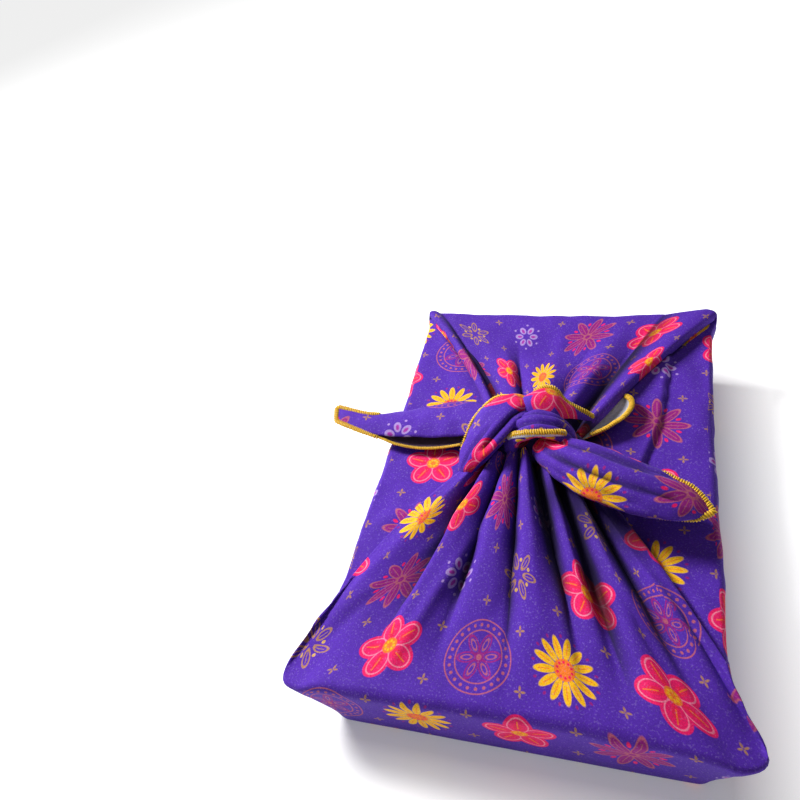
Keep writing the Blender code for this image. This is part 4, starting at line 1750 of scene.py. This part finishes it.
def binding_ring(line, index, size):
    """The places round the binding at one point of a hem; it is thinner at the hem's ends."""
    _, across, up = hem_axes(line, index)
    from_end = min(index, len(line) - 1 - index)
    scale = size * min(1.0, BINDING_AT_END + BINDING_GROWS * from_end)
    ring = []
    for side in range(HEM_SIDES):
        turn = 2.0 * math.pi * side / HEM_SIDES
        offset = across * (HEM_HALF_WIDTH * math.cos(turn)) + up * (HEM_HALF_DEPTH * math.sin(turn))
        ring.append(line[index][0] + offset * scale)
    return ring


def make_binding():
    """The flat roll of thread along every hem."""
    work = bmesh.new()
    for line, size in HEM_LINES:
        rings = []
        for index in range(len(line)):
            rings.append([work.verts.new(place * MM) for place in binding_ring(line, index, size)])
        for first, second in zip(rings, rings[1:]):
            for corners in quads([*first, first[0]], [*second, second[0]]):
                work.faces.new(corners).smooth = True
        work.faces.new(rings[0])
        work.faces.new(rings[-1])
    bmesh.ops.recalc_face_normals(work, faces=work.faces)
    mesh = bpy.data.meshes.new("hem_binding")
    work.to_mesh(mesh)
    work.free()
    return add_object("hem_binding", mesh)


BINDING = make_binding()
print("faces in the binding:", len(BINDING.data.polygons))


# %% Stitch tree
LOOP_SIDES = 10
THREAD_SIDES = 5
TILT_STRAYS = 0.12


def stitch_tree(thread):
    """Geometry Nodes that loop a thread round the binding at every point of a path."""
    tree = bpy.data.node_groups.new("overlock_stitches", "GeometryNodeTree")
    face = tree.interface
    face.new_socket(name="Geometry", in_out="INPUT", socket_type="NodeSocketGeometry")
    for name in ("Loop width", "Loop depth", "Thread radius", "Slant"):
        face.new_socket(name=name, in_out="INPUT", socket_type="NodeSocketFloat")
    face.new_socket(name="Seed", in_out="INPUT", socket_type="NodeSocketInt")
    face.new_socket(name="Geometry", in_out="OUTPUT", socket_type="NodeSocketGeometry")

    add = Tree(tree).node
    given = add("NodeGroupInput").outputs
    loop = add("GeometryNodeCurvePrimitiveCircle", {"mode": "RADIUS"}, Resolution=LOOP_SIDES, Radius=1.0)
    size = add("ShaderNodeCombineXYZ", s0=given["Loop width"], s1=given["Loop depth"], s2=1.0)
    shape = add("GeometryNodeTransform", Geometry=loop.outputs[0], Scale=size.outputs[0])
    shape.inputs["Rotation"].default_value = (QUARTER_TURN, 0.0, 0.0)
    strand = add("GeometryNodeCurvePrimitiveCircle", {"mode": "RADIUS"}, Resolution=THREAD_SIDES)
    tree.links.new(given["Thread radius"], strand.inputs["Radius"])
    solid = add("GeometryNodeCurveToMesh", Curve=shape.outputs[0], Profile_Curve=strand.outputs[0])
    up = add("GeometryNodeInputNamedAttribute", {"data_type": "FLOAT_VECTOR"}, Name="up")
    along = add("GeometryNodeInputNamedAttribute", {"data_type": "FLOAT_VECTOR"}, Name="along")
    axes = {"primary_axis": "Z", "secondary_axis": "Y"}
    facing = add("FunctionNodeAxesToRotation", axes, s0=up.outputs[0], s1=along.outputs[0])
    dice = add("FunctionNodeRandomValue", {"data_type": "FLOAT"}, s2=-TILT_STRAYS, s3=TILT_STRAYS)
    tree.links.new(given["Seed"], dice.inputs["Seed"])
    tilt = add("ShaderNodeMath", {"operation": "ADD"}, s0=given["Slant"], s1=dice.outputs[1])
    turn = add("ShaderNodeCombineXYZ", s2=tilt.outputs[0])
    slant = add("FunctionNodeEulerToRotation", s0=turn.outputs[0])
    local = {"rotation_space": "LOCAL"}
    both = add("FunctionNodeRotateRotation", local, s0=facing.outputs[0], s1=slant.outputs[0])
    scale = add("GeometryNodeInputNamedAttribute", {"data_type": "FLOAT"}, Name="size")
    scatter = add("GeometryNodeInstanceOnPoints", Points=given["Geometry"], Instance=solid.outputs[0])
    tree.links.new(both.outputs[0], scatter.inputs["Rotation"])
    tree.links.new(scale.outputs[0], scatter.inputs["Scale"])
    real = add("GeometryNodeRealizeInstances", s0=scatter.outputs[0])
    smooth = add("GeometryNodeSetShadeSmooth", s0=real.outputs[0])
    dressed = add("GeometryNodeSetMaterial", Geometry=smooth.outputs[0], Material=thread)
    add("NodeGroupOutput", s0=dressed.outputs[0])
    return tree


def hem_thread(name, dark, light):
    """Golden polyester thread, with a soft gloss and a little change of tone."""
    sheet = Sheet(name)
    tone = sheet.noise(420.0, 2.0)
    sheet.feed(sheet.shader.inputs["Base Color"], sheet.mix(tone, dark, light))
    sheet.feed(sheet.shader.inputs["Roughness"], tone * 0.3 + 0.4)
    return sheet.material


THREAD = hem_thread("hem_thread", (0.72, 0.40, 0.006, 1.0), (1.0, 0.68, 0.05, 1.0))
# The binding lies under the loops, so its thread is a darker copy with painted shade.
THREAD_PAINTED_SHADE = hem_thread("hem_thread_painted_shade", (0.36, 0.16, 0.003, 1.0), (0.62, 0.34, 0.01, 1.0))
BINDING.data.materials.append(THREAD_PAINTED_SHADE)
print("stitch tree ready")


# %% Stitch the hems
LOOP_WIDER = 1.08
LOOP_DEEPER = 1.15
THREAD_RADIUS = 0.38
LOOP_SLANT = 0.22


def make_stitches():
    """The loops of thread as one plain mesh."""
    places = []
    ups = []
    alongs = []
    scales = []
    for line, size in HEM_LINES:
        for index in range(1, len(line) - 1):
            scales.append(size)
            along, _, up = hem_axes(line, index)
            places.append(line[index][0] * MM)
            ups.append(up)
            alongs.append(along)
    path = bpy.data.meshes.new("stitch_path")
    path.from_pydata(places, [], [])
    for name, vectors in (("up", ups), ("along", alongs)):
        layer = path.attributes.new(name, "FLOAT_VECTOR", "POINT")
        for item, vector in zip(layer.data, vectors):
            item.vector = vector
    path.attributes.new("size", "FLOAT", "POINT").data.foreach_set("value", scales)
    carrier = add_object("stitch_path", path)
    stitching = carrier.modifiers.new("stitches", "NODES")
    tree = stitch_tree(THREAD)
    stitching.node_group = tree
    sizes = {
        "Loop width": HEM_HALF_WIDTH * LOOP_WIDER * MM,
        "Loop depth": HEM_HALF_DEPTH * LOOP_DEEPER * MM,
        "Thread radius": THREAD_RADIUS * MM,
        "Slant": LOOP_SLANT,
        "Seed": 7,
    }
    for item in tree.interface.items_tree:
        if item.in_out == "INPUT" and item.name in sizes:
            stitching[item.identifier] = sizes[item.name]
    bpy.context.view_layer.update()
    evaluated = carrier.evaluated_get(bpy.context.evaluated_depsgraph_get())
    mesh = bpy.data.meshes.new_from_object(evaluated)
    mesh.name = "hem_stitches"
    mesh.materials.clear()
    mesh.materials.append(THREAD)
    mesh.polygons.foreach_set("material_index", [0] * len(mesh.polygons))
    bpy.data.objects.remove(carrier)
    return add_object("hem_stitches", mesh)


STITCHES = make_stitches()
print("faces in the stitches:", len(STITCHES.data.polygons))

# %% [markdown]
# ## Floor and light
# The photograph has a white ground and soft light from the upper left, and the shadows are
# short. Three lamps and a pale world give the light. The floor is a plain pale plane that
# glows faintly, more so a little way off the parcel, which keeps its shadow short.

# %% Floor paper
PAPER_COLOUR = (0.78, 0.78, 0.78, 1.0)
PAPER_ROUGHNESS = 0.9
GLOW_BESIDE = 0.20
GLOW_BEYOND = 0.74
GLOW_STARTS = 5.0
GLOW_GROWS = 38.0


def floor_paper():
    """Matt paper with a painted glow that grows with the distance from the parcel's base, which shortens
    its shadow.
    """
    paper = Sheet("floor_paper")
    spots = paper.node("ShaderNodeTexCoord")
    x, y = paper.apart(spots.outputs["Object"])
    beside = paper.maths("ABSOLUTE", x) / MM - BOX_WIDTH / 2.0
    beyond = paper.maths("ABSOLUTE", y) / MM - BOX_LENGTH / 2.0
    off_side = paper.maths("MAXIMUM", beside, 0.0)
    off_end = paper.maths("MAXIMUM", beyond, 0.0)
    away = paper.maths("SQRT", off_side * off_side + off_end * off_end)
    # Painted light: the floor glows though it is no lamp, dimmest beside the parcel, where the glow leaves
    # a short painted shadow.
    glow = paper.clamped((away - GLOW_STARTS) / GLOW_GROWS) * (GLOW_BEYOND - GLOW_BESIDE) + GLOW_BESIDE
    grey = paper.node("ShaderNodeCombineColor", s0=glow, s1=glow, s2=glow)
    paper.feed(paper.shader.inputs["Emission Color"], grey.outputs[0])
    paper.shader.inputs["Emission Strength"].default_value = 1.0
    paper.shader.inputs["Base Color"].default_value = PAPER_COLOUR
    paper.shader.inputs["Roughness"].default_value = PAPER_ROUGHNESS
    return paper.material


PAPER = floor_paper()
print("the glow grows over", GLOW_GROWS, "mm")


# %% Stage
FLOOR_REACH = 3.0
WORLD_STRENGTH = 0.15


def make_stage():
    """The floor and the pale world."""
    mesh = bpy.data.meshes.new("floor")
    corners = [(x * FLOOR_REACH, y * FLOOR_REACH, 0.0) for x, y in ((-1, -1), (1, -1), (1, 1), (-1, 1))]
    mesh.from_pydata(corners, [], [(0, 1, 2, 3)])
    mesh.materials.append(PAPER)
    add_object("floor", mesh)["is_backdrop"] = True
    world = bpy.data.worlds.new("pale")
    world.use_nodes = True
    world.node_tree.nodes["Background"].inputs[0].default_value = (1.0, 1.0, 1.0, 1.0)
    world.node_tree.nodes["Background"].inputs[1].default_value = WORLD_STRENGTH
    bpy.context.scene.world = world


LAMPS = [
    # name, x, y, z, size m, watts
    ("key", -0.78, 0.30, 0.78, 0.35, 19.0),
    ("fill", 0.1, -0.5, 1.3, 1.0, 1.0),
    ("far", 0.6, 0.9, 0.9, 0.8, 0.5),
]


def make_lamps():
    """Large soft lamps that face the parcel."""
    for name, x, y, z, size, watts in LAMPS:
        light = bpy.data.lights.new(name, "AREA")
        light.size = size
        light.energy = watts
        lamp = add_object(name, light)
        lamp.location = (x, y, z)
        lamp.rotation_euler = (-lamp.location).to_track_quat("-Z", "Y").to_euler()


make_stage()
make_lamps()
bpy.context.scene.view_settings.view_transform = "Standard"
print("lamps:", [lamp[0] for lamp in LAMPS])

# %% [markdown]
# ## Portions of one cloth
# The real cloth is one square, 700 mm a side, and most of it is hidden in the knot and the
# folds. The scene holds only what shows, so a table lists each piece as its own portion of the
# square, with the flat size that its surface comes from. Each piece's surface is measured and
# printed beside it.

# %% Measure the cloth
SHEETS = [
    # piece, flat width m, flat length m, flat area in square metres or None, held, rests on
    ("cover", 0.70, 0.70, 0.185, "gathered", []),
    ("knot_core", 0.045, 0.055, None, "gathered", ["cover"]),
    ("left_lobe", 0.038, 0.064, None, "folded", ["knot_core"]),
    ("band", 0.034, 0.045, None, "folded", ["knot_core"]),
    ("right_tail", 0.042, 0.093, None, "folded", ["cover"]),
    ("left_tail", 0.026, 0.122, None, "folded", ["cover"]),
    ("tail_turn", 0.012, 0.070, None, "folded", ["left_tail"]),
    ("top_strand", 0.018, 0.052, None, "folded", ["knot_core"]),
    ("curled_edge", 0.014, 0.050, None, "folded", ["cover"]),
    ("band_turn", 0.010, 0.035, 0.00012, "folded", ["band"]),
]


def area_of(piece):
    """A piece's surface with its modifiers, in square metres."""
    evaluated = piece.evaluated_get(bpy.context.evaluated_depsgraph_get())
    return sum(polygon.area for polygon in evaluated.data.polygons)


for name, width, length, cut, _, _ in SHEETS:
    shown = area_of(bpy.data.objects[name]) / 2.0
    print(name, "shows", round(shown * 1e4, 1), "square cm of", round((cut or width * length) * 1e4, 1))

# %% Finish
COTTON_PIECES = [COVER, *STRANDS, *OPEN_ENDS]
THREAD_PIECES = [BINDING, STITCHES]
for piece in COTTON_PIECES + THREAD_PIECES:
    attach(piece, "root")
    "printed_cotton" if piece in COTTON_PIECES else "hem_thread"
    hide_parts("wrap")

for name, width, length, cut, held, rests_on in SHEETS:
    piece = bpy.data.objects[name]
    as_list(rests_on)

BOXES = {"cad": CAD_BOX, "visual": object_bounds()}
{name: [list(corner) for corner in box] for name, box in BOXES.items()}
